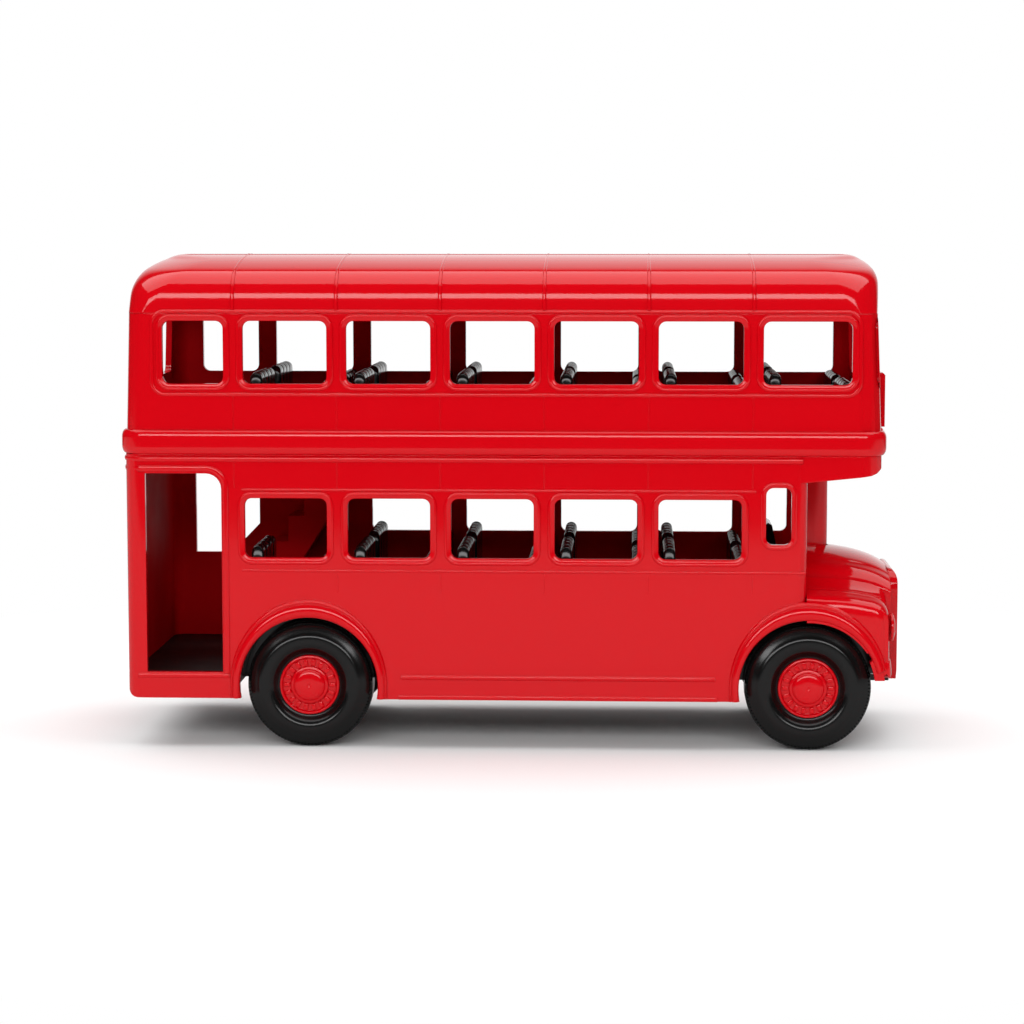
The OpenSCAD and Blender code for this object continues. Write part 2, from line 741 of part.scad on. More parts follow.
// Plain steel axle, its ends inside the two hubs
axle_end = wheel_face - 4;
module axle(x) {
    color(steel) translate([x, axle_end, axle_z]) rotate([90, 0, 0])
        cylinder(r = axle_r, h = 2*axle_end);
}
module rear_axle() { axle(rear_axle_x); }
module front_axle() { axle(front_axle_x); }

// Places a wheel piece drawn about +Z, where z is the distance out from the middle of the bus
module at_wheel(x, side) {
    translate([x, 0, axle_z]) rotate([-90*side, 0, 0]) children();
}

// Hard tyre with a shallow hollow round its wall and a bevelled shoulder
module tyre(x, side) {
    y1 = wheel_face;
    y0 = wheel_face - tyre_w;
    hollow = [wheel_r - 9.5, wheel_r - 4.5];
    color(moulding_black) at_wheel(x, side) rotate_extrude() polygon([
        [hub_r, y0 + 1], [hub_r + 1.5, y0], [wheel_r - 2, y0], [wheel_r, y0 + 2],
        [wheel_r, y1 - 2], [wheel_r - 2, y1 - 0.3], [wheel_r - 3.4, y1], [hollow[1], y1],
        [hollow[1] - 1, y1 - 0.7], [hollow[0] + 1, y1 - 0.7], [hollow[0], y1],
        [hub_r + 1, y1], [hub_r, y1 - 1]]);
}
module rear_nearside_tyre() { tyre(rear_axle_x, near); }
module rear_offside_tyre() { tyre(rear_axle_x, far); }
module front_nearside_tyre() { tyre(front_axle_x, near); }
module front_offside_tyre() { tyre(front_axle_x, far); }

// Red hub: a rim, a sunk web and a domed cap, with a blind hole for the axle
module hub(x, side) {
    y1 = wheel_face;
    y0 = wheel_face - tyre_w + 1;
    cap_r = hub_r - 5.1;
    color(bus_red) at_wheel(x, side) difference() {
        rotate_extrude() polygon([[0, y0], [hub_r, y0], [hub_r, y1 - 1.2], [hub_r - 0.6, y1 - 0.6],
            [hub_r - 1.6, y1 - 0.6], [hub_r - 2, y1 - 1.6], [cap_r + 0.6, y1 - 1.6],
            [cap_r, y1 - 0.4], [cap_r - 1, y1 + 0.3], [cap_r - 3, y1 + 0.8], [0, y1 + 1]]);
        translate([0, 0, y0 - 1]) cylinder(r = axle_r, h = axle_end - y0 + 1);
    }
}
module rear_nearside_hub() { hub(rear_axle_x, near); }
module rear_offside_hub() { hub(rear_axle_x, far); }
module front_nearside_hub() { hub(front_axle_x, near); }
module front_offside_hub() { hub(front_axle_x, far); }

roof();
upper_body();
destination_box();
upper_deck();
lower_body();
canopy();
staircase();
lower_deck();
driver_seat();
cab();
bonnet();
nearside_wing();
offside_wing();
radiator_grille();
headlamps();
rear_number_plate();
chassis();
chassis_screws();
rear_axle();
front_axle();
rear_nearside_tyre();
rear_offside_tyre();
front_nearside_tyre();
front_offside_tyre();
rear_nearside_hub();
rear_offside_hub();
front_nearside_hub();
front_offside_hub();
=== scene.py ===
import json
import math

import bmesh
import bpy
from mathutils import Matrix, Vector
from mathutils.bvhtree import BVHTree


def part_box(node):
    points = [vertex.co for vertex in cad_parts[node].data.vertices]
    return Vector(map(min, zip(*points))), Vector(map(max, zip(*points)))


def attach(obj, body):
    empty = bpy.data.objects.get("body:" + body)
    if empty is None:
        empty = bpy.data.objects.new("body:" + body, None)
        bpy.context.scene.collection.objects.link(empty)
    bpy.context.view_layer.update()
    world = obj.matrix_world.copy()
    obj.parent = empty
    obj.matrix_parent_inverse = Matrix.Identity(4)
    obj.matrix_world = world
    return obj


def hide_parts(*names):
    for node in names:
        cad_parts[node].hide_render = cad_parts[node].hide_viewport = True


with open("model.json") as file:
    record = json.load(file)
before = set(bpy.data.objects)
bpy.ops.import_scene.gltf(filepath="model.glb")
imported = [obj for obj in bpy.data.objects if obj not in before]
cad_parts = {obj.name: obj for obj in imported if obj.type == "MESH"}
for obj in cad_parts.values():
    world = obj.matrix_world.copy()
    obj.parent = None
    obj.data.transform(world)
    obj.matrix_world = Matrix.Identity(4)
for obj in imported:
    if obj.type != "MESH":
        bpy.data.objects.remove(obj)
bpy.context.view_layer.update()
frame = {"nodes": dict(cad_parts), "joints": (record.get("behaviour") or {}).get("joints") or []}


def mm(*values):
    """Millimetres to metres."""
    return values[0] / 1000 if len(values) == 1 else tuple(v / 1000 for v in values)


def placed(name, data):
    """A new object for a mesh, a light or a camera, linked to the scene."""
    obj = bpy.data.objects.new(name, data)
    bpy.context.scene.collection.objects.link(obj)
    return obj


low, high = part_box("lower_body")
rear_x = low.x * 1000
lower_front = high.x * 1000
skirt_z = low.z * 1000
half_w = 52.0
band_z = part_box("upper_body")[0].z * 1000
axles = {j["child"]: [1000 * c for c in j["pos_m"]] for j in frame["joints"]}
rear_axle_x = axles["rear_wheelset"][0]
front_axle_x = axles["front_wheelset"][0]
wheel_r = axles["rear_wheelset"][2]
print("frame loaded:", len(frame["nodes"]), "nodes; axles at", rear_axle_x, front_axle_x)

# %% [markdown]
# ## Sizes shared with the CAD
# The roof ribs set the rhythm of the whole toy: every window and every bench is placed from
# them, so one list of rib places keeps the lips, beads and seats in step with the shells.
# %% Sizes
n_bays = 5
first_rib = -108.25
last_rib = 94.1
pitch = (last_rib - first_rib) / n_bays
ribs = [first_rib + i * pitch for i in range(n_bays + 1)]
upper_edge, lower_edge = 3.7, 3.95
upper_sill, upper_head = 143.7, 168.4
lower_sill, lower_head = 75.5, 99.2
gutter_z = 172.0
floor_z = 30.15
wall_t = 2.5
front_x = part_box("radiator_grille")[1].x * 1000
upper_front = front_x - 7.6
corner_r = 9.0
bow_angle = math.radians(4)
bow_r = (half_w - corner_r) / math.sin(bow_angle) + corner_r
band_h, band_out, band_roll = 9.6, 1.8, 3.0
sunk = mm(0.9)
door_front, door_top = first_rib - 5.05, 108.7
cab_window = (last_rib + 5.2, lower_front - 6.1, lower_sill + 6, lower_head + 4.8)
window_r = 3.0
upper_spans = [(first_rib - upper_edge - 24, first_rib - upper_edge)]
upper_spans += [(a + upper_edge, b - upper_edge) for a, b in zip(ribs, ribs[1:])]
upper_spans += [(last_rib + upper_edge, last_rib + upper_edge + 34.4)]
lower_spans = [(a + lower_edge, b - lower_edge) for a, b in zip(ribs, ribs[1:])]
print(len(upper_spans), "upper windows a side,", len(lower_spans), "lower ones")


def arc(cx, cy, r, a, b, n):
    """Points of a circular arc between two angles in degrees."""
    steps = [math.radians(a + (b - a) * i / n) for i in range(n + 1)]
    return [(cx + r * math.cos(t), cy + r * math.sin(t)) for t in steps]


def round_rect(x0, y0, x1, y1, r, n=6):
    """A closed rectangle with rounded corners, anticlockwise."""
    return (
        arc(x1 - r, y1 - r, r, 0, 90, n)
        + arc(x0 + r, y1 - r, r, 90, 180, n)
        + arc(x0 + r, y0 + r, r, 180, 270, n)
        + arc(x1 - r, y0 + r, r, 270, 360, n)
    )


def bow_drop(y):
    """How far the bowed front has fallen back at y."""
    return bow_r - math.sqrt(bow_r * bow_r - y * y)


def bridge(bm, rings, closed=False):
    """Joins each ring of vertices to the next with a strip of faces."""
    for a, b in zip(rings, rings[1:]):
        for i in range(len(a) if closed else len(a) - 1):
            k = (i + 1) % len(a)
            bm.faces.new((a[i], a[k], b[k], b[i]))


# %% [markdown]
# ## Materials
# Moulded ABS is a dense colour under a clear, hard gloss. A principled shader with a low
# roughness gives that; a very faint noise on the roughness and the normal stands for the
# slow waves of a moulded surface. The Bevel node rounds the shading of every sharp edge by a
# few tenths of a millimetre, as the radius in a mould does, so that edges catch the light.
# %% Materials


def hex_colour(code):
    """An sRGB hex colour as linear RGBA."""
    parts = [int(code[i : i + 2], 16) / 255 for i in (1, 3, 5)]
    return [c / 12.92 if c <= 0.04045 else ((c + 0.055) / 1.055) ** 2.4 for c in parts] + [1.0]


def add(tree, kind, links=None, **settings):
    """Adds a node, sets its sockets (spaces as _) or its own settings, and links it."""
    node = tree.nodes.new(kind)
    for key, value in settings.items():
        name = key.replace("_", " ")
        socket = next((s for s in node.inputs if s.name.lower() == name.lower()), None)
        if socket is not None:
            socket.default_value = value
        else:
            setattr(node, key, value)
    for target, source in (links or {}).items():
        tree.links.new(source, node.inputs[target])
    return node


def new_material(name):
    """An empty node material and its output node."""
    material = bpy.data.materials.new(name)
    material.use_nodes = True
    material.node_tree.nodes.clear()
    return material, material.node_tree


def moulded_plastic(name, colour, roughness, edge_mm, wave=0.05, specular=0.5):
    """Glossy moulded plastic with softly rounded edges and a faint waviness."""
    material, tree = new_material(name)
    place = add(tree, "ShaderNodeTexCoord")
    vector = {"Vector": place.outputs["Object"]}
    slow = add(tree, "ShaderNodeTexNoise", vector, Scale=55.0, Detail=2.0)
    spread = add(
        tree,
        "ShaderNodeMapRange",
        {"Value": slow.outputs["Fac"]},
        To_Min=roughness * 0.8,
        To_Max=roughness * 1.2,
    )
    edge = add(tree, "ShaderNodeBevel", samples=6, Radius=mm(edge_mm))
    wavy = add(
        tree,
        "ShaderNodeBump",
        {"Height": slow.outputs["Fac"], "Normal": edge.outputs["Normal"]},
        Strength=wave,
        Distance=mm(0.4),
    )
    shader = add(
        tree,
        "ShaderNodeBsdfPrincipled",
        {"Roughness": spread.outputs["Result"], "Normal": wavy.outputs["Normal"]},
        Base_Color=hex_colour(colour),
        Specular_IOR_Level=specular,
    )
    add(tree, "ShaderNodeOutputMaterial", {"Surface": shader.outputs["BSDF"]})
    return material


def plain_steel(name, colour):
    """Drawn steel: a metal with fine streaks round the bar."""
    material, tree = new_material(name)
    place = add(tree, "ShaderNodeTexCoord")
    vector = {"Vector": place.outputs["Object"]}
    stretch = add(tree, "ShaderNodeMapping", vector, Scale=(4000, 30, 4000))
    vector = {"Vector": stretch.outputs["Vector"]}
    streaks = add(tree, "ShaderNodeTexNoise", vector, Scale=1.0, Detail=3.0)
    value = {"Value": streaks.outputs["Fac"]}
    spread = add(tree, "ShaderNodeMapRange", value, To_Min=0.2, To_Max=0.42)
    shader = add(
        tree,
        "ShaderNodeBsdfPrincipled",
        {"Roughness": spread.outputs["Result"]},
        Base_Color=hex_colour(colour),
        Metallic=1.0,
    )
    add(tree, "ShaderNodeOutputMaterial", {"Surface": shader.outputs["BSDF"]})
    return material


red = moulded_plastic("glossy_moulded_red_abs", "#c8020f", 0.09, 0.5)
dull_black = moulded_plastic("satin_moulded_black_abs", "#0a0909", 0.5, 0.5, specular=0.2)
# A darker copy of the red, nearly without gloss, for the inner faces and the staircase: painted
# shade.
satin_red_painted_shade = moulded_plastic("satin_red_abs_darkened_as_painted_shade", "#b8020c", 0.6, 0.5, specular=0.03)
black = moulded_plastic("glossy_moulded_black_abs", "#0d0b0b", 0.14, 0.4)
tyre_black = moulded_plastic("hard_moulded_black_tyre", "#0b0b0b", 0.2, 0.4)
steel = plain_steel("drawn_steel", "#c0c2c6")
print("materials:", [m.name for m in bpy.data.materials])

# %% [markdown]
# ## Skins
# A CAD node arrives as loose triangles. A skin is a merged copy of it: the triangles are
# welded, flat areas are dissolved into single faces, and edges sharper than about thirty
# degrees stay crisp while the curved parts are shaded smoothly.
# %% Skins


def finish_piece(obj, body, slot, material, *nodes):
    """Gives a piece its material, lets it ride on its body and stand for its CAD nodes."""
    if material is not None:
        obj.data.materials.clear()
        obj.data.materials.append(material)
    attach(obj, body)
    if nodes:
        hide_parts(*nodes)
    return obj


def shade(bm, angle=32):
    """Smooth shading with crisp edges above an angle."""
    for face in bm.faces:
        face.smooth = True
    for edge in bm.edges:
        edge.smooth = len(edge.link_faces) == 2 and edge.calc_face_angle(0) < math.radians(angle)


def new_object(name, bm, angle=32):
    """A new object from a bmesh, smooth-shaded, with normals weighted by face area."""
    shade(bm, angle)
    mesh = bpy.data.meshes.new(name)
    bm.to_mesh(mesh)
    bm.free()
    obj = placed(name, mesh)
    weighted = obj.modifiers.new("even_normals", "WEIGHTED_NORMAL")
    weighted.keep_sharp = True
    weighted.weight = 100
    return obj


def skin_mesh(node):
    """A welded copy of a CAD node as a bmesh."""
    bm = bmesh.new()
    bm.from_mesh(frame["nodes"][node].data)
    bmesh.ops.remove_doubles(bm, verts=bm.verts, dist=mm(0.004))
    bmesh.ops.dissolve_limit(bm, angle_limit=math.radians(0.6), verts=bm.verts, edges=bm.edges)
    bmesh.ops.triangulate(bm, faces=[f for f in bm.faces if len(f.verts) > 4])
    return bm


def skin(node, name, body, slot, material, angle=32, change=None):
    """A finished skin that stands for one CAD node, after a change to its mesh if given."""
    bm = skin_mesh(node)
    if change:
        change(bm)
    obj = new_object(name, bm, angle)
    return finish_piece(obj, body, slot, material, node)


RED, BLACK, STEEL = "bus_red_plastic", "moulding_black_plastic", "axle_steel"


def inside(point, margin=0.15):
    """True for a point on the inner faces of the two body shells, given in mm."""
    x, y, z = point
    return (
        abs(y) < half_w - wall_t + margin
        and rear_x + wall_t - margin < x
        and x < (lower_front if z < band_z else upper_front) - wall_t + margin
    )


def paint_inside_shade(obj):
    """The faces inside a shell take a darker, satin red: painted shade, with almost no gloss."""
    obj.data.materials.append(satin_red_painted_shade)
    for face in obj.data.polygons:
        corners = [obj.data.vertices[i].co * 1000 for i in face.vertices]
        if all(inside(c) for c in corners):
            face.material_index = 1


def outward(x, y):
    """How far a point stands outside the walls of the deck, and the way out."""
    a = max(rear_x + corner_r - x, x - (upper_front - corner_r - bow_drop(y)))
    b = abs(y) - (half_w - corner_r)
    way = Vector((max(a, 0) * (1 if x > 0 else -1), max(b, 0) * (1 if y > 0 else -1), 0))
    return way.length - corner_r if way.length else max(a, b) - corner_r, way


def sink_band(bm):
    """Draws the plain CAD band in, so that the rounded band can cover it."""
    for v in bm.verts:
        x, y, z = v.co * 1000
        far, way = outward(x, y)
        if far > 0.05 and band_z - 0.2 < z < band_z + band_h + 0.2:
            v.co -= way.normalized() * sunk
            v.co.z += mm(0.3 if z < band_z + band_h / 2 else -0.3)


def sink_flares(bm):
    """Draws the flat CAD arch flares in, so that the rounded lips can cover them."""
    for v in bm.verts:
        if abs(v.co.y) * 1000 > half_w + 0.05 and v.co.z * 1000 < 62:
            v.co.y = math.copysign(mm(half_w + 0.1), v.co.y)


def sink_wing(bm):
    """Draws the CAD wing in a little, so that the lofted wing can cover it."""
    for v in bm.verts:
        x, y, z = v.co * 1000
        if abs(y) > half_w - 3:
            v.co.y -= math.copysign(sunk, y)
        if x > front_x - 12:
            v.co.x -= mm(1.4)
        if z > 40:
            v.co.z -= sunk


def close_seam(bm):
    """Takes the canopy back over the rounded front edge of the lower body."""
    back = min(v.co.x for v in bm.verts)
    for v in bm.verts:
        if v.co.x < back + mm(0.01) and v.co.z > mm(100):
            v.co.x -= mm(5.2)
            v.co.y -= math.copysign(mm(0.25), v.co.y)


for node in ("destination_box", "headlamps", "rear_number_plate"):
    skin(node, node + "_skin", "bus_body", RED, red)
# The staircase takes the darker satin red: painted shade.
skin("staircase", "staircase_skin", "bus_body", RED, satin_red_painted_shade)
skin("cab", "cab_skin", "bus_body", RED, red, 38)
skin("canopy", "canopy_skin", "bus_body", RED, red, 38, close_seam)
for node in ("nearside_wing", "offside_wing"):
    skin(node, node + "_skin", "bus_body", RED, red, 38, sink_wing)
# The inner faces of both shells take the darker satin red: painted shade.
paint_inside_shade(skin("upper_body", "upper_body_skin", "bus_body", RED, red, 30, sink_band))
paint_inside_shade(skin("lower_body", "lower_body_skin", "bus_body", RED, red, 30, sink_flares))
skin("chassis", "chassis_skin", "bus_body", BLACK, black)
skin("driver_seat", "driver_seat_skin", "bus_body", BLACK, black)
skin("chassis_screws", "screws_skin", "bus_body", STEEL, steel)
for end in ("rear", "front"):
    skin(end + "_axle", end + "_axle_skin", end + "_wheelset", STEEL, steel)

# %% [markdown]
# ## Beads and lips
# The shells are trimmed with small mouldings: a rounded lip round every window, half-round
# beads along the sides and raised double lips over the wheels. All of them are one idea, a
# little profile swept along a path on a wall, so one function makes them. A profile point is
# (offset from the path, height over the wall); the path lies flat on the wall, and a place
# function carries it to the near side, the far side or an end of the bus.
# %% Sweep


def sweep(bm, path, profile, place, closed=True):
    """Sweeps a profile along a flat path and carries each point into place."""
    count = len(path)
    rings = []
    for i, (u, v) in enumerate(path):
        before = path[i - 1] if closed or i > 0 else path[i]
        after = path[(i + 1) % count] if closed or i < count - 1 else path[i]
        first = Vector((u - before[0], v - before[1]))
        second = Vector((after[0] - u, after[1] - v))
        first = (first if first.length > 1e-6 else second).normalized()
        second = (second if second.length > 1e-6 else first).normalized()
        middle = (first + second).normalized()
        out = Vector((middle.y, -middle.x))
        out *= 1 / max(0.5, middle.dot(first))
        ring = [place(u + out.x * a, v + out.y * a, h) for a, h in profile]
        rings.append([bm.verts.new(q) for q in ring])
    bridge(bm, rings + rings[:1] if closed else rings)
    if not closed:
        bm.faces.new(rings[0])
        bm.faces.new(list(reversed(rings[-1])))


def side_place(side):
    """Carries (along, up, out) to a side wall: -1 is the near side and 1 the far side."""
    return lambda u, v, h: mm(u, side * (half_w + h), v)


def half_round(half, height, n=6):
    """A half-round bead profile with its foot just under the wall."""
    angles = [math.pi * i / n for i in range(n + 1)]
    bend = [(half * math.cos(t), height * math.sin(t)) for t in angles]
    return [(half, -0.1)] + bend + [(-half, -0.1)]


def lip(width, height, inner=0.12):
    """A ridge round an opening, with a shallow step between it and the opening's edge."""
    return [
        (width, -0.1),
        (width - 0.1, height * 0.35),
        (width - 0.45, height * 0.85),
        (width - 0.85, height),
        (width - 1.25, height * 0.85),
        (width - 1.6, height * 0.45),
        (width * 0.3, height * 0.3),
        (0.15, height * 0.25),
        (-inner, -0.1),
        (-inner, -wall_t + 0.05),
    ]


def trim_object(name, bm):
    """A finished trim piece of red plastic, its faces turned outward."""
    bmesh.ops.recalc_face_normals(bm, faces=bm.faces)
    obj = new_object(name, bm, 50)
    return finish_piece(obj, "bus_body", RED, red)


window_lip = lip(2.6, 0.75)
bead = half_round(0.75, 0.5)
fine_bead = half_round(0.55, 0.3)
print("profiles ready:", len(window_lip), "points in the window lip")

# %% [markdown]
# ## Window lips and side beads
# The lips round the bay windows are all the same, so Geometry Nodes sets one lip on a point
# for every bay on both sides. The odd windows at the ends are swept one by one.
# %% Window lips


def grid_of(name, source, points, material, axis="Z"):
    """Sets a source object on points with Geometry Nodes, then keeps the result as a mesh.

    points is a list of (place in mm, turn about the axis in degrees)."""
    cloud = bpy.data.meshes.new(name + "_points")
    cloud.from_pydata([mm(*p) for p, _ in points], [], [])
    turn = cloud.attributes.new("turn", "FLOAT", "POINT")
    for i, (_, angle) in enumerate(points):
        turn.data[i].value = math.radians(angle)
    carrier = placed(name, cloud)
    tree = bpy.data.node_groups.new(name + "_nodes", "GeometryNodeTree")
    socket = tree.interface.new_socket
    socket("Geometry", in_out="INPUT", socket_type="NodeSocketGeometry")
    piece = socket("Repeated piece", in_out="INPUT", socket_type="NodeSocketObject")
    finish = socket("Finish", in_out="INPUT", socket_type="NodeSocketMaterial")
    socket("Geometry", in_out="OUTPUT", socket_type="NodeSocketGeometry")
    ends = add(tree, "NodeGroupInput")
    info = add(tree, "GeometryNodeObjectInfo", {"Object": ends.outputs["Repeated piece"]})
    angle = add(tree, "GeometryNodeInputNamedAttribute", data_type="FLOAT", Name="turn")
    turned = add(tree, "ShaderNodeCombineXYZ", {axis: angle.outputs["Attribute"]})
    spread = add(
        tree,
        "GeometryNodeInstanceOnPoints",
        {
            "Points": ends.outputs["Geometry"],
            "Instance": info.outputs["Geometry"],
            "Rotation": turned.outputs["Vector"],
        },
    )
    real = add(tree, "GeometryNodeRealizeInstances", {"Geometry": spread.outputs["Instances"]})
    finished = {"Geometry": real.outputs["Geometry"], "Material": ends.outputs["Finish"]}
    painted = add(tree, "GeometryNodeSetMaterial", finished)
    add(tree, "NodeGroupOutput", {"Geometry": painted.outputs["Geometry"]})
    modifier = carrier.modifiers.new(name, "NODES")
    modifier.node_group = tree
    modifier[piece.identifier] = source
    modifier[finish.identifier] = material
    bpy.context.view_layer.update()
    evaluated = carrier.evaluated_get(bpy.context.evaluated_depsgraph_get())
    mesh = bpy.data.meshes.new_from_object(evaluated)
    bpy.data.objects.remove(carrier)
    return placed(name, mesh)


def source_piece(name, bm, angle=50):
    """A piece at the origin, without modifiers, that Geometry Nodes repeats."""
    bmesh.ops.recalc_face_normals(bm, faces=bm.faces)
    obj = new_object(name, bm, angle)
    obj.modifiers.clear()
    return obj


def repeated(name, source, points, body, slot, material, axis="Z"):
    """Repeats a source piece, finishes the result and throws the source away."""
    obj = grid_of(name, source, points, material, axis)
    bpy.data.objects.remove(source)
    return finish_piece(obj, body, slot, material)


def bay_lips(name, gap, sill, head, places):
    """A lip for a bay window, set on every (middle along, side) with Geometry Nodes."""
    width, height = pitch - 2 * gap, head - sill
    bm = bmesh.new()
    outline = round_rect(-width / 2, -height / 2, width / 2, height / 2, window_r)
    sweep(bm, outline, window_lip, lambda u, v, h: mm(u, -h, v))
    middle = (sill + head) / 2
    points = [((x, side * half_w, middle), 0 if side < 0 else 180) for x, side in places]
    repeated(name, source_piece(name + "_source", bm), points, "bus_body", RED, red)


places = [(sum(s) / 2, side) for s in upper_spans[1:-1] for side in (-1, 1)]
bay_lips("upper_bay_lips", upper_edge, upper_sill, upper_head, places)
places = [(sum(s) / 2, -1) for s in lower_spans] + [(sum(s) / 2, 1) for s in lower_spans[1:]]
bay_lips("lower_bay_lips", lower_edge, lower_sill, lower_head, places)

bm = bmesh.new()
for side in (-1, 1):
    for x0, x1 in (upper_spans[0], upper_spans[-1]):
        outline = round_rect(x0, upper_sill, x1, upper_head, window_r)
        sweep(bm, outline, window_lip, side_place(side))
rear_lean, front_lean = math.tan(math.radians(1.7)), math.tan(math.radians(2.4))


def rear_place(u, v, h):
    """Carries (across, up, out) to the leaning back wall."""
    return mm(rear_x + (v - band_z) * rear_lean - h, u, v)


def front_place(u, v, h):
    """Carries (across, up, out) to the bowed and leaning front wall."""
    return mm(upper_front - bow_drop(u) - (v - band_z) * front_lean + h, -u, v)


end_lip, cab_lip = lip(1.4, 0.12), lip(2.0, 0.5)
rear_half = 42.0
outline = round_rect(-rear_half, upper_sill, rear_half, upper_head, window_r)
sweep(bm, outline, end_lip, rear_place)
inner_y, outer_y = 2.6, half_w - corner_r / 2
for y0, y1 in ((inner_y, outer_y), (-outer_y, -inner_y)):
    sweep(bm, round_rect(y0, upper_sill, y1, upper_head, window_r), end_lip, front_place)
x0, x1, z0, z1 = cab_window
sweep(bm, round_rect(x0, z0, x1, z1, window_r), cab_lip, side_place(-1))
outline = round_rect(x0, z0 - 5.5, lower_front - 2.2, z1, window_r)
sweep(bm, outline, cab_lip, side_place(1))
trim_object("end_window_lips", bm)

# %% [markdown]
# ## Side beads
# A half-round bead frames the upper windows, finer ones run along the sides, and hair-thin
# upright seams show where the panels of the real bus would meet.
# %% Side beads
bm = bmesh.new()
zone = (upper_spans[0][0] - 4.0, upper_sill - 4.0, upper_spans[-1][1] + 3.0, gutter_z)
sill_bead_z, head_bead_z = 70.6, 102.4
seam, low_seam = half_round(0.3, 0.14), half_round(0.3, 0.12)
for side in (-1, 1):
    wall = side_place(side)
    sweep(bm, round_rect(*zone, 5.0), bead, wall)
    for z, end in ((sill_bead_z, lower_front - 0.5), (head_bead_z, lower_front - 20.0)):
        sweep(bm, [(first_rib + 3.0, z), (end, z)], fine_bead, wall, closed=False)
    for x in ribs:
        for z0, z1 in ((126.3, 139.2), (103.2, 114.5)):
            sweep(bm, [(x, z0), (x, z1)], seam, wall, closed=False)
    for x in ribs[1:]:
        sweep(bm, [(x, 62.0), (x, sill_bead_z - 0.6)], low_seam, wall, closed=False)
skirt_start, skirt_end = rear_axle_x + 36.5, front_axle_x - 36.5
for side in (-1, 1):
    wall = side_place(side)
    line = [(skirt_start, 28.6), (skirt_end, 28.6)]
    sweep(bm, line, half_round(1.0, 0.7), wall, closed=False)
    line = [(skirt_start - 1, 20.6), (skirt_end + 1, 20.6)]
    sweep(bm, line, half_round(0.9, 0.35), wall, closed=False)
trim_object("side_beads", bm)
print("side beads swept over", len(ribs), "ribs")

# %% [markdown]
# ## Waist band, lip bead and doorway
# The waist band runs right round the bus. Its path is the plan of the upper deck: round
# corners behind, and a front that bows gently forward. A lip bead under it turns down at the
# doorway and frames its front post.
# %% Waist band


def deck_plan(g, n=8):
    """The plan of the upper deck grown by g, anticlockwise from the near front corner."""
    centre = upper_front - bow_r
    cx = centre + (bow_r - corner_r) * math.cos(bow_angle)
    cy = half_w - corner_r
    angles = [bow_angle * k / 4 for k in range(-3, 4)]
    middle = [(centre + (bow_r + g) * math.cos(t), (bow_r + g) * math.sin(t)) for t in angles]
    return (
        arc(cx, -cy, corner_r + g, -90, -4, n)
        + middle
        + arc(cx, cy, corner_r + g, 4, 90, n)
        + arc(rear_x + corner_r, cy, corner_r + g, 90, 180, n)
        + arc(rear_x + corner_r, -cy, corner_r + g, 180, 270, n)
    )


def ring_band(bm, z0, z1, out, rise, n=6):
    """A band round the deck between two levels, its outer edges rolled over."""
    angles = [math.pi / 2 * k / n for k in range(n + 1)]
    profile = [(-0.6, z0)]
    profile += [(out * math.sin(t), z0 + rise - rise * math.cos(t)) for t in angles]
    profile += [(out * math.cos(t), z1 - rise + rise * math.sin(t)) for t in angles]
    profile += [(-0.6, z1)]
    levels = [[bm.verts.new(mm(x, y, z)) for x, y in deck_plan(g)] for g, z in profile]
    bridge(bm, levels + levels[:1], closed=True)


def rear_ridge(bm, z, half, height, start):
    """A half-round ridge round the back of the bus between two places on its sides."""
    r = corner_r
    path = [(start[1], half_w)] + arc(rear_x + r, half_w - r, r, 90, 180, 8)
    path += arc(rear_x + r, r - half_w, r, 180, 270, 8) + [(start[0], -half_w)]
    profile = [(h, a) for a, h in half_round(half, height)]
    sweep(bm, path, profile, lambda u, v, h: mm(u, v, z + h), closed=False)


bm = bmesh.new()
ring_band(bm, band_z, band_z + band_h, band_out, band_roll)
trim_object("waist_band", bm)

bm = bmesh.new()
corner, head_z, post_x = 7.5, door_top + 1.9, door_front + 1.6
path = [(rear_x + 6, head_z), (post_x - corner, head_z)]
path += arc(post_x - corner, head_z - corner, corner, 80, 0, 7)
path += [(post_x, floor_z - 0.5)]
sweep(bm, path, half_round(1.3, 0.7), side_place(-1), closed=False)
path = [(rear_x + 5, floor_z - 1.4), (door_front + 2.5, floor_z - 1.4)]
sweep(bm, path, half_round(1.0, 0.6), side_place(-1), closed=False)
rear_ridge(bm, 114.4, 1.2, 0.9, (lower_front - 2, lower_front - 2))
rear_ridge(bm, head_z, 1.3, 0.7, (rear_x + 6, first_rib))
trim_object("door_frame", bm)
print("bands and beads made")

# %% [markdown]
# ## Wheel arches
# Each arch has a raised lip with a double contour: a broad rolled band and a fine bead at its
# outer edge, one section swept round the arch. The flat CAD flares are drawn in under it.
# %% Arches
arch_r, lip_x, lip_z = 27.3, 31.1, 34.5
lip_section = [(0.0, -2.5), (0.0, 0.5), (0.06, 1.0), (0.16, 1.4), (0.32, 1.6), (0.48, 1.5)]
lip_section += [(0.6, 1.15), (0.68, 0.75), (0.72, 0.6), (0.77, 0.75), (0.83, 1.0), (0.9, 0.95)]
lip_section += [(0.96, 0.6), (1.0, 0.0), (1.0, -0.1)]


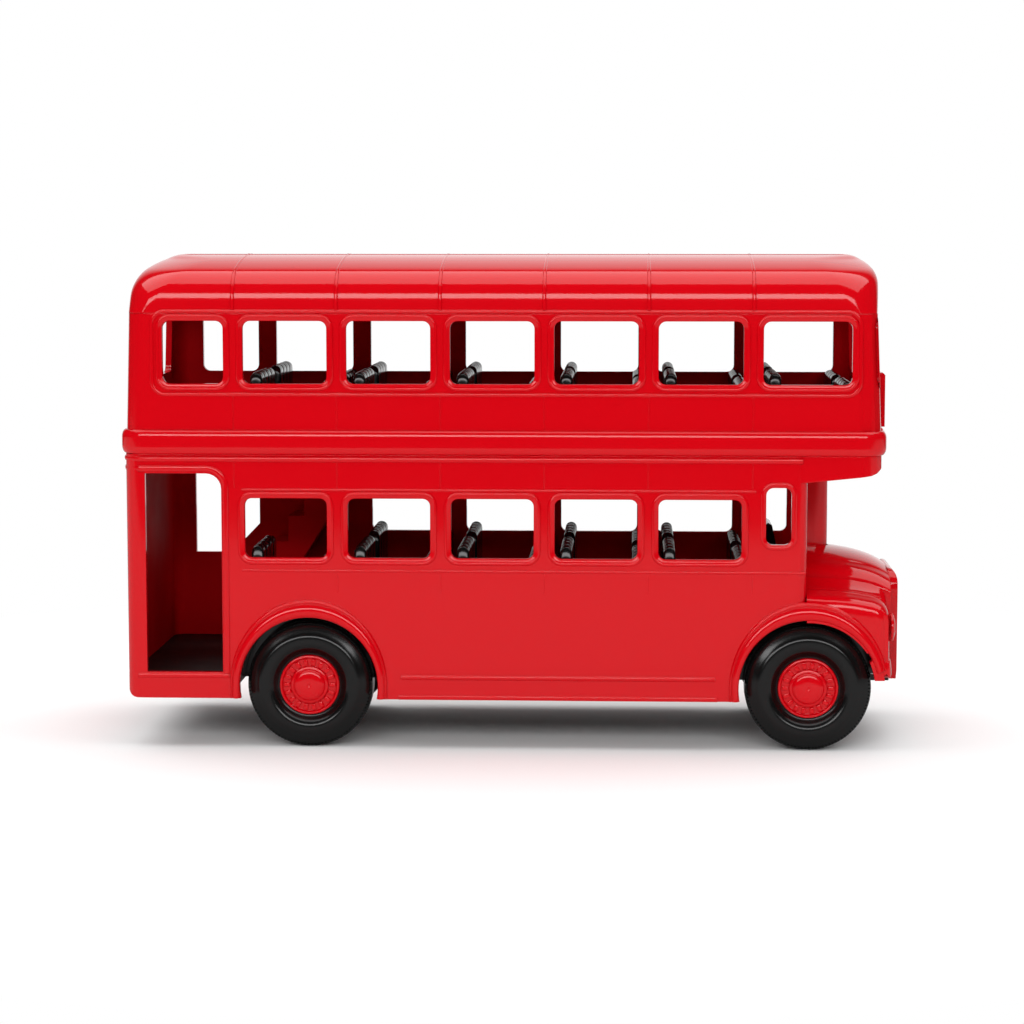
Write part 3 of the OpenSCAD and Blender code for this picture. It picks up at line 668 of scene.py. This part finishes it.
def arch_lip(bm, x, side, first, last, steps=44):
    """A broad rolled lip that widens from its feet to its crown, with a bead at its edge."""
    rings = []
    for k in range(steps + 1):
        t = math.radians(first + (last - first) * k / steps)
        c, sn = math.cos(t), math.sin(t)
        ring = []
        for f, h in lip_section:
            rx, rz = arch_r + (lip_x - arch_r) * f, arch_r + (lip_z - arch_r) * f
            ring.append((x + rx * c, side * (half_w + h), wheel_r + rz * sn))
        rings.append([bm.verts.new(mm(*q)) for q in ring])
    if last == 180:
        rings.append([bm.verts.new((v.co.x, v.co.y, mm(skirt_z + 0.1))) for v in rings[-1]])
    if first == 0:
        rings.insert(0, [bm.verts.new((v.co.x, v.co.y, mm(skirt_z + 0.1))) for v in rings[0]])
    bridge(bm, rings)
    bm.faces.new(rings[0])
    bm.faces.new(list(reversed(rings[-1])))


bm = bmesh.new()
for side in (-1, 1):
    arch_lip(bm, rear_axle_x, side, 0, 180)
    arch_lip(bm, front_axle_x, side, 14, 180)
trim_object("arch_lips", bm)
print("arches done")

# %% [markdown]
# ## Wheels
# The hard tyres have a dished wall, a rolled shoulder and fine teeth on the tread edge. The
# red hubs carry a stepped cap inside a ring of small raised blocks. Both are turned shapes,
# so a lathe function makes them, and Geometry Nodes sets the teeth and blocks round them.
# %% Wheels


def lathe(bm, profile, steps=96):
    """Turns a profile of (radius, outward) round the wheel's axis, with outward along -Y."""
    rings = []
    for r, out in profile:
        if r < 1e-6:
            rings.append([bm.verts.new((0, mm(-out), 0))])
            continue
        angles = [2 * math.pi * i / steps for i in range(steps)]
        ring = [mm(r * math.cos(t), -out, r * math.sin(t)) for t in angles]
        rings.append([bm.verts.new(q) for q in ring])
    for a, b in zip(rings, rings[1:]):
        for i in range(steps):
            k = (i + 1) % steps
            if len(a) == 1:
                bm.faces.new((a[0], b[i], b[k]))
            elif len(b) == 1:
                bm.faces.new((a[i], a[k], b[0]))
            else:
                bm.faces.new((a[i], a[k], b[k], b[i]))


def curve(points, n=4):
    """A smooth curve through points, by Catmull-Rom."""

    def between(a, b, c, d, t):
        square = (2 * a - 5 * b + 4 * c - d) * t * t
        return 0.5 * (2 * b + (c - a) * t + square + (3 * b - a - 3 * c + d) * t**3)

    out = []
    for i in range(len(points) - 1):
        p0, p1 = points[max(i - 1, 0)], points[i]
        p2, p3 = points[i + 1], points[min(i + 2, len(points) - 1)]
        for k in range(n):
            out.append(tuple(between(*q, k / n) for q in zip(p0, p1, p2, p3)))
    return out + [points[-1]]


hub_r, tyre_w = 11.9, 14.0
tyre_face = curve(
    [
        (hub_r, -2.6),
        (12.6, -2.5),
        (13.6, -1.9),
        (14.6, -0.9),
        (15.7, -0.22),
        (16.9, 0.0),
        (18.6, 0.0),
        (19.6, -0.2),
        (20.7, -0.8),
        (22.2, -1.5),
        (wheel_r - 1.2, -2.3),
        (wheel_r - 0.4, -3.2),
        (wheel_r, -4.4),
    ]
)
tyre_back = [(wheel_r, -tyre_w + 2.2), (wheel_r - 0.7, -tyre_w + 0.8)]
tyre_back += [(wheel_r - 2.2, -tyre_w), (hub_r, -tyre_w), (hub_r, -2.6)]
hub_face = [(0, 0.55), (0.35, 0.4), (0.8, 0.6)]
hub_face += curve([(0.8, 0.6), (3.2, 0.5), (5.2, 0.1), (6.1, -0.6)], 5)[1:]
hub_face += [(6.3, -1.0), (6.9, -1.05), (7.3, -1.3), (7.5, -2.0), (10.5, -2.0), (10.7, -1.2)]
hub_face += [(11.1, -0.85), (11.6, -1.0), (hub_r - 0.02, -1.6)]
hub_face += [(hub_r - 0.02, -tyre_w + 1), (2.2, -tyre_w + 1)]
wheel_face = 50.0
for end, x in (("rear", rear_axle_x), ("front", front_axle_x)):
    body = end + "_wheelset"
    for side, word in ((-1, "nearside"), (1, "offside")):
        turn = Matrix.Rotation(0 if side < 0 else math.pi, 4, "Z")
        turn = Matrix.Translation(mm(x, side * wheel_face, wheel_r)) @ turn
        for profile, kind, slot, material in (
            (tyre_face + tyre_back, "tyre", BLACK, tyre_black),
            (hub_face, "hub", RED, red),
        ):
            bm = bmesh.new()
            lathe(bm, profile)
            bmesh.ops.remove_doubles(bm, verts=bm.verts, dist=1e-7)
            bmesh.ops.transform(bm, matrix=turn, verts=bm.verts)
            bmesh.ops.recalc_face_normals(bm, faces=bm.faces)
            name = "%s_%s_%s" % (end, word, kind)
            obj = new_object(name + "_turned", bm, 36)
            finish_piece(obj, body, slot, material, name)


def wheel_ring(name, size, r, out, count, end, slot, material, round_mm):
    """Small rounded blocks set round both wheels of an axle with Geometry Nodes."""
    x = rear_axle_x if end == "rear" else front_axle_x
    bm = bmesh.new()
    bmesh.ops.create_cube(bm, size=1.0)
    bmesh.ops.scale(bm, vec=mm(*size), verts=bm.verts)
    bmesh.ops.bevel(
        bm, geom=bm.edges[:], offset=mm(round_mm), segments=2, affect="EDGES", profile=0.5
    )
    points = []
    for side in (-1, 1):
        y = side * (wheel_face + out)
        for i in range(count):
            t = 2 * math.pi * i / count
            spot = (x + r * math.cos(t), y, wheel_r + r * math.sin(t))
            points.append((spot, -math.degrees(t)))
    source = source_piece(name + "_source", bm)
    return repeated(name, source, points, end + "_wheelset", slot, material, "Y")


for end in ("rear", "front"):
    wheel_ring(end + "_hub_blocks", (2.5, 1.2, 1.7), 9.0, -1.85, 18, end, RED, red, 0.3)
    size, r = (0.5, 1.6, 0.5), wheel_r - 0.62
    wheel_ring(end + "_tread_teeth", size, r, -2.9, 110, end, BLACK, tyre_black, 0.12)
print("wheel details set")

# %% [markdown]
# ## Roof
# The roof is one shell whose corners melt into each other, so it is lofted: ring upon ring
# from the gutter to the crown. Each ring is a rounded plan whose ends and sides are read from
# the CAD roof at that level, and whose corners grow rounder on the way up. An inner loft
# closes the shell. A half-round rib crosses it over every pillar.
# %% Roof
roof_tree = BVHTree.FromObject(frame["nodes"]["roof"], bpy.context.evaluated_depsgraph_get())
crown_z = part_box("roof")[1].z * 1000 - 0.45


def roof_reach(z):
    """Back end, front end and half width of the CAD roof at a level, between two ribs."""
    x = first_rib + pitch / 2
    z = min(z, crown_z - 0.1)
    back = roof_tree.ray_cast(mm(-400, 0, z), Vector((1, 0, 0)))[0]
    front = roof_tree.ray_cast(mm(400, 0, z), Vector((-1, 0, 0)))[0]
    side = roof_tree.ray_cast(mm(x, -200, z), Vector((0, 1, 0)))[0]
    return back.x * 1000, front.x * 1000, -side.y * 1000


def round_over(radius, depth):
    """How far a quarter circle lies in from the wall at a depth below its top."""
    up = min(1.0, max(0.0, 1 - depth / radius))
    return radius * (1 - math.sqrt(1 - up**2))


def roof_ring(z, inset=0.0):
    """One ring of the roof: a rounded plan at a level."""
    back, front, _ = roof_reach(edge_z + 1)
    back += inset + round_over(roof_back_r, top_z - z)
    front -= inset + round_over(roof_front_r, top_z - z)
    half = roof_reach(z)[2] - inset
    rise = (z - gutter_z) / (crown_z - gutter_z)
    r = min(corner_r + 15 * rise, half - 1)
    points = []
    for k, (end, side) in enumerate(((1, -1), (1, 1), (-1, 1), (-1, -1))):
        cx = front - r if end > 0 else back + r
        points += arc(cx, side * (half - r), r, 90 * k - 90, 90 * k, 12)
    bow = 1 - 0.6 * rise
    return [(x - (bow_drop(y) * bow if x > front - r - 1 else 0), y, z) for x, y in points]


def loft(bm, rings):
    """Bridges closed rings of equal length and returns them as vertices."""
    made = [[bm.verts.new(mm(*q)) for q in ring] for ring in rings]
    bridge(bm, made, closed=True)
    return made


bm = bmesh.new()
edge_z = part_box("roof")[0].z * 1000 + 0.02
top_z = crown_z + 0.15
roof_back_r, roof_front_r = 16.0, 11.5
levels = [edge_z + (top_z - edge_z) * math.sin(math.pi / 2 * k / 26) for k in range(27)]
outer = loft(bm, [roof_ring(z) for z in levels])
inner = loft(bm, [roof_ring(z, wall_t) for z in levels[:-3]])
for i in range(len(outer[0])):
    k = (i + 1) % len(outer[0])
    bm.faces.new((outer[0][k], outer[0][i], inner[0][i], inner[0][k]))
bm.faces.new(outer[-1])
bm.faces.new(list(reversed(inner[-1])))
bmesh.ops.recalc_face_normals(bm, faces=bm.faces)
finish_piece(new_object("roof_shell", bm, 40), "bus_body", RED, red, "roof")

section = [(-roof_reach(z)[2], z - 0.6 * (z - edge_z) / (top_z - edge_z)) for z in levels]
section += [(-y, z) for y, z in reversed(section)]
rib_r = 0.8
bend = [math.pi * k / 6 for k in range(7)]
rib_profile = [(-rib_r * math.sin(t), rib_r * math.cos(t)) for t in bend]
rib_profile = [(0.6, rib_r)] + rib_profile + [(0.6, -rib_r)]
bm = bmesh.new()
for x in ribs:
    sweep(bm, section[1:-1], rib_profile, lambda u, v, h, x=x: mm(x + h, u, v), closed=False)
trim_object("roof_ribs", bm)
print("roof lofted in", len(levels), "levels")

# %% [markdown]
# ## Nose
# The nose has a rounded bonnet with a crease along each side and a wing beside it. Both are
# lofts. The bonnet is a row of cross-sections, each a fixed drop below the crown line. Beside
# the cab only its near half shows, so the far half starts where the cab ends.
# %% Bonnet
bonnet_low, bonnet_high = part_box("bonnet")[0] * 1000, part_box("bonnet")[1] * 1000
bonnet_drops = [
    (0.0, 0.0),
    (7.0, 0.25),
    (13.0, 0.95),
    (18.0, 1.9),
    (20.3, 2.55),
    (20.9, 2.95),
    (22.2, 3.6),
    (24.6, 4.25),
    (26.6, 4.9),
    (28.4, 5.8),
    (30.0, 7.1),
    (31.3, 8.8),
    (32.2, 10.4),
    (32.7, 12.0),
    (32.7, 40.0),
]


def bonnet_section(x):
    """One cross-section of the bonnet from the near side to the far side."""
    u = min(1.0, max(0.0, (x - bonnet_low.x) / 34))
    top = bonnet_high.z - 12 + 12 * math.sqrt(1 - (0.93 * u) ** 2)
    half = [(y, max(top - d * (1 - 0.3 * u * u), bonnet_low.z)) for y, d in bonnet_drops]
    return [(x, -y, z) for y, z in reversed(half)] + [(x, y, z) for y, z in half[1:]]


cab_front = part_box("cab")[1].x * 1000 + 0.15
beside_cab = 6
stations = [
    bonnet_low.x + (cab_front - bonnet_low.x) * k / beside_cab for k in range(beside_cab + 1)
]
stations += [cab_front + (bonnet_high.x - cab_front) * k / 12 for k in range(1, 13)]
bm = bmesh.new()
rows = [[bm.verts.new(mm(*q)) for q in bonnet_section(x)] for x in stations]
near_half = len(bonnet_drops)
bridge(bm, [row[:near_half] for row in rows[: beside_cab + 1]])
bridge(bm, rows[beside_cab:])
bm.faces.new(rows[-1])
bmesh.ops.recalc_face_normals(bm, faces=bm.faces)
finish_piece(new_object("bonnet_shell", bm, 45), "bus_body", RED, red, "bonnet")
print("bonnet lofted over", len(stations), "sections")

# %% [markdown]
# ## Wings
# A wing starts from its side profile. Each point of that line carries a cross-section that
# falls away along the line's own normal, and its outer edge runs down to the wheel arch.
# %% Wings
wing_line = curve(
    [
        (lower_front + 0.15, 62.4),
        (122.0, 62.0),
        (131.0, 61.5),
        (139.0, 60.3),
        (143.4, 59.2),
        (146.4, 57.2),
        (147.9, 53.6),
        (148.2, 47.0),
        (148.3, 40.0),
    ],
    5,
)
wing_line += [(148.4, 36.6), (148.9, 36.0), (149.3, 33.0), (149.4, 30.4)]
wing_line += [(148.8, 29.0), (147.6, 28.7)]
wing_cross = [
    (32.9, -4.6),
    (34.2, -3.4),
    (36.0, -2.2),
    (38.0, -1.2),
    (40.0, -0.75),
    (41.6, -0.85),
    (43.0, -0.75),
    (44.2, -0.3),
    (45.4, 0.0),
    (46.8, 0.35),
    (48.6, 0.85),
    (50.0, 1.45),
    (51.0, 2.3),
    (51.7, 3.5),
    (52.0, 5.2),
]


def wing_mesh(side):
    """The outer skin of a wing: profile along, cross-section over, arch circle below."""
    bm = bmesh.new()
    rows = []
    count = len(wing_line)
    for i, (x, z) in enumerate(wing_line):
        before, after = wing_line[max(i - 1, 0)], wing_line[min(i + 1, count - 1)]
        way = Vector((after[0] - before[0], after[1] - before[1])).normalized()
        out = Vector((-way.y, way.x))
        row = []
        for y, drop in wing_cross:
            rise = drop if drop > 0 else drop * max(0.0, out.y) ** 2
            if z < 36.5:
                rise *= 0.5
            row.append((x - out.x * rise, y, max(z - out.y * rise, 28.65)))
        angle = math.radians(91.5 - 83.5 * i / (count - 1))
        foot = (front_axle_x + arch_r * math.cos(angle), wheel_r + arch_r * math.sin(angle))
        edge = row[-1]
        for f in (0.35, 0.7, 1.0):
            x_down = edge[0] + (foot[0] - edge[0]) * f
            row.append((x_down, half_w, edge[2] + (foot[1] - edge[2]) * f))
        row.append((foot[0], half_w - 8, foot[1]))
        rows.append([bm.verts.new(mm(a, side * b, c)) for a, b, c in row])
    bridge(bm, rows)
    bm.faces.new(rows[-1])
    bmesh.ops.recalc_face_normals(bm, faces=bm.faces)
    return bm


for word, side in (("nearside", -1), ("offside", 1)):
    bm = wing_mesh(side)
    if side > 0:
        middles = [(f, f.calc_center_median() * 1000) for f in bm.faces]
        behind_cab = [f for f, m in middles if m.x < cab_front and m.z > 50]
        bmesh.ops.delete(bm, geom=behind_cab, context="FACES")
    finish_piece(new_object(word + "_wing_shell", bm, 45), "bus_body", RED, red)
print("nose lofted")

# %% [markdown]
# ## Decks and benches
# The benches are black mouldings, back to back at every roof rib. A bench back is a row of
# rounded lobes, one for each seat, with a fine ripple over them. One bench is modelled at the
# origin, and Geometry Nodes sets it on every place, turned about for the seats that face back.
# %% Benches


def bench_back(bm, length, height, thick, lobes, foot):
    """A bench back along Y from 0: rounded on top, pinched between the seats."""
    along = 16 * lobes
    around = 12
    rings = []
    for i in range(along + 1):
        y = length * i / along
        seat = (i / along * lobes) % 1.0
        swell = math.sqrt(max(0.0, 1 - (2 * seat - 1) ** 6))
        scale = 0.4 + 0.6 * swell + 0.04 * math.sin(seat * math.pi * 5)
        r = thick / 2 * (0.75 + 0.25 * scale)
        top = height * (0.84 + 0.16 * scale)
        angles = [math.pi * k / (around - 1) for k in range(around)]
        ring = [(r * math.cos(t), top - r + r * math.sin(t)) for t in angles]
        ring = [(r, foot)] + ring + [(-r, foot)]
        rings.append([bm.verts.new(mm(x, y, z)) for x, z in ring])
    for a, b in zip(rings, rings[1:]):
        for k in range(len(a) - 1):
            bm.faces.new((a[k], b[k], b[k + 1], a[k + 1]))
    bm.faces.new(rings[0])
    bm.faces.new(list(reversed(rings[-1])))


def bench_source(name, height, over_wheel, aisle_first):
    """A bench for two: the lobed back and a cushion with a rounded front edge.

    A bench over a wheel well has a short cushion, and its back stops above the well."""
    length, thick, reach = wall_seat_y - aisle_y, 4.7, 17.0
    cushion = height * 0.45
    bm = bmesh.new()
    bench_back(bm, length, height, thick, 4, cushion + 3 if over_wheel else -2.0)
    wide = well_y - aisle_y - 1.0
    board = 2.2
    outline = [(-1.5, cushion - board), (reach - board, cushion - board)]
    outline += [(reach - board, -2.0), (reach, -2.0)]
    outline += arc(reach - 1.2, cushion - 1.2, 1.2, 0, 90, 4) + [(-1.5, cushion)]
    inner, outer = 0.4, length - 0.4
    if over_wheel:
        inner, outer = (0.4, wide) if aisle_first else (length - wide, length - 0.4)
    near = [bm.verts.new(mm(x, inner, z)) for x, z in outline]
    far = [bm.verts.new(mm(x, outer, z)) for x, z in outline]
    bm.faces.new(near)
    bm.faces.new(list(reversed(far)))
    for k in range(len(near)):
        j = (k + 1) % len(near)
        bm.faces.new((near[k], near[j], far[j], far[k]))
    return source_piece(name, bm, 40)


upper_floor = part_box("upper_deck")[0].z * 1000 + 2.0
upper_top = upper_sill + 4.4
lower_top = lower_sill + 4.4
front_row = upper_front - 15.4
aisle_y, wall_seat_y, well_y = 8.5, 48.5, 32.9


def set_benches(deck, word, deck_z, top, rows):
    """Sets one kind of bench on its rows, with the short kind over the wheel wells."""
    ahead = word == "front"
    height = (top if ahead else top - 3.2) - deck_z
    for short in (False, True):
        for side in (-1, 1):
            chosen = [x for x, sides in rows if side in sides]
            chosen = [x for x in chosen if (deck == "lower" and over_well(x, ahead)) == short]
            if not chosen:
                continue
            aisle_first = (side > 0) == ahead
            y = side * (aisle_y if aisle_first else wall_seat_y)
            points = [((x, y, deck_z), 0 if ahead else 180) for x in chosen]
            source = bench_source("bench", height, short, aisle_first)
            words = (deck, "short" if short else "full", word, "near" if side < 0 else "far")
            repeated("%s_%s_benches_%s_%s" % words, source, points, "bus_body", BLACK, black)


def over_well(x, ahead):
    """True for a bench whose cushion would meet a wheel well."""
    low, high = (x - 3, x + 17.5) if ahead else (x - 17.5, x + 3)
    return any(low < axle + 29.2 and high > axle - 29.2 for axle in (rear_axle_x, front_axle_x))


for deck, deck_z in (("upper", upper_floor), ("lower", floor_z)):
    bm = skin_mesh(deck + "_deck")
    gone = [f for f in bm.faces if f.calc_center_median().z * 1000 > deck_z + 0.01]
    bmesh.ops.delete(bm, geom=gone, context="FACES")
    bmesh.ops.holes_fill(bm, edges=[e for e in bm.edges if e.is_boundary], sides=0)
    floor_piece = new_object(deck + "_deck_floor", bm)
    finish_piece(floor_piece, "bus_body", BLACK, dull_black, deck + "_deck")
both = (-1, 1)
after_rib, before_rib = 8.5, 4.0
rows = [(x + after_rib, both) for x in ribs]
set_benches("upper", "front", upper_floor, upper_top, rows)
rows = [(x - before_rib, both) for x in ribs[1:]] + [(front_row, both)]
set_benches("upper", "back", upper_floor, upper_top, rows)
rows = [(x + after_rib, both if i else (-1,)) for i, x in enumerate(ribs[:-1])]
set_benches("lower", "front", floor_z, lower_top, rows)
rows = [(x - before_rib, both if i else (-1,)) for i, x in enumerate(ribs[1:])]
set_benches("lower", "back", floor_z, lower_top, rows)
print("benches set")

# %% [markdown]
# ## Radiator
# The radiator is a rounded shell with a sunk core and upright slats. All of that is in the
# CAD node, so it only takes a welded skin with the gloss and rounded edges of the body.
# %% Radiator
skin("radiator_grille", "radiator_skin", "bus_body", RED, red, 38)
print("radiator skinned")

# %% [markdown]
# ## Stage, lights and camera
# The toy stands on a plain white sheet under one large soft light. The side that faces the
# camera mirrors only the sheet, whose reflection is painted darker, and above it the dark of the
# room, which keeps the red deep.
# %% Stage, lights and camera


def area_light(name, place, target, width, depth, power):
    """A soft rectangular light that looks at a target."""
    data = bpy.data.lights.new(name, "AREA")
    data.shape = "RECTANGLE"
    data.size = width
    data.size_y = depth
    data.energy = power
    obj = placed(name, data)
    obj.location = place
    obj.rotation_euler = (Vector(target) - Vector(place)).to_track_quat("-Z", "Y").to_euler()
    return obj


def make_floor():
    """A white sheet under the toy that ends a little way in front of it."""
    bm = bmesh.new()
    corners = [(-3, -0.8), (3, -0.8), (3, 0.9), (-3, 0.9)]
    bm.faces.new([bm.verts.new((x, y, 0)) for x, y in corners])
    mesh = bpy.data.meshes.new("floor")
    bm.to_mesh(mesh)
    bm.free()
    floor = placed("floor", mesh)
    material, tree = new_material("matt_white_paper")
    place = add(tree, "ShaderNodeTexCoord")
    grain = add(tree, "ShaderNodeTexNoise", {"Vector": place.outputs["Object"]}, Scale=900.0)
    value = {"Value": grain.outputs["Fac"]}
    tint = add(tree, "ShaderNodeMapRange", value, To_Min=0.88, To_Max=0.92)
    rays = add(tree, "ShaderNodeLightPath")
    # In mirror rays the sheet's colour drops to 0.4: a painted darkening of its reflection in
    # the toy.
    value = {"Value": rays.outputs["Is Glossy Ray"]}
    dim = add(tree, "ShaderNodeMapRange", value, To_Min=1.0, To_Max=0.4)
    both_of = {0: tint.outputs["Result"], 1: dim.outputs["Result"]}
    shade_of = add(tree, "ShaderNodeMath", both_of, operation="MULTIPLY")
    paper = add(tree, "ShaderNodeBsdfDiffuse", {"Color": shade_of.outputs["Value"]})
    # The sheet brightens to pure white away from the toy, as a lit paper sweep does
    reach = add(tree, "ShaderNodeVectorMath", {0: place.outputs["Object"]}, operation="LENGTH")
    value = {"Value": reach.outputs["Value"]}
    glow = add(tree, "ShaderNodeMapRange", value, From_Min=0.24, From_Max=0.42)
    both_of = {0: glow.outputs["Result"], 1: rays.outputs["Is Camera Ray"]}
    seen = add(tree, "ShaderNodeMath", both_of, operation="MULTIPLY")
    white = add(tree, "ShaderNodeEmission", Strength=1.0)
    shaders = {0: seen.outputs["Value"], 1: paper.outputs["BSDF"], 2: white.outputs["Emission"]}
    mix = add(tree, "ShaderNodeMixShader", shaders)
    add(tree, "ShaderNodeOutputMaterial", {"Surface": mix.outputs["Shader"]})
    mesh.materials.append(material)
    return floor


def make_world():
    """White to the camera, dark in mirror reflections, a soft fill for everything else."""
    world = bpy.data.worlds.new("studio")
    bpy.context.scene.world = world
    world.use_nodes = True
    tree = world.node_tree
    tree.nodes.clear()
    rays = add(tree, "ShaderNodeLightPath")
    fill = add(tree, "ShaderNodeBackground", Color=(1, 1, 1, 1), Strength=0.45)
    way = add(tree, "ShaderNodeTexCoord")
    parts = add(tree, "ShaderNodeSeparateXYZ", {"Vector": way.outputs["Generated"]})
    value = {"Value": parts.outputs["Y"]}
    span = {"From_Min": 0.75, "From_Max": 1.0, "To_Min": 0.02, "To_Max": 1.0}
    behind = add(tree, "ShaderNodeMapRange", value, **span)
    strength = {"Strength": behind.outputs["Result"]}
    dark = add(tree, "ShaderNodeBackground", strength, Color=(1, 1, 1, 1))
    white = add(tree, "ShaderNodeBackground", Color=(1, 1, 1, 1), Strength=1.0)
    shaders = {0: rays.outputs["Is Glossy Ray"], 1: fill.outputs[0], 2: dark.outputs[0]}
    unseen = add(tree, "ShaderNodeMixShader", shaders)
    shaders = {0: rays.outputs["Is Camera Ray"], 1: unseen.outputs[0], 2: white.outputs[0]}
    seen = add(tree, "ShaderNodeMixShader", shaders)
    add(tree, "ShaderNodeOutputWorld", {"Surface": seen.outputs[0]})


def make_camera():
    """A long lens a metre away, a little above the roof and turned slightly to the rear."""
    data = bpy.data.cameras.new("camera")
    data.sensor_width = 36
    data.lens = 94.19
    camera = placed("camera", data)
    camera.location = mm(46.7, -1089.6, 201.3)
    yaw, dip = math.radians(2.541), math.radians(5.892)
    level = math.cos(dip)
    ahead = (-math.sin(yaw) * level, math.cos(yaw) * level, -math.sin(dip))
    camera.rotation_euler = Vector(ahead).to_track_quat("-Z", "Y").to_euler()
    bpy.context.scene.camera = camera


make_floor()
make_world()
make_camera()
area_light("top_softbox", (0.0, 0.2, 1.6), (0, 0.05, 0), 3.2, 1.9, 34)
area_light("front_strip", (-0.1, -1.8, 0.86), (0, 0, 0.12), 2.8, 0.5, 22)
bpy.context.scene.view_settings.view_transform = "Standard"
print("stage, lights and camera are set")
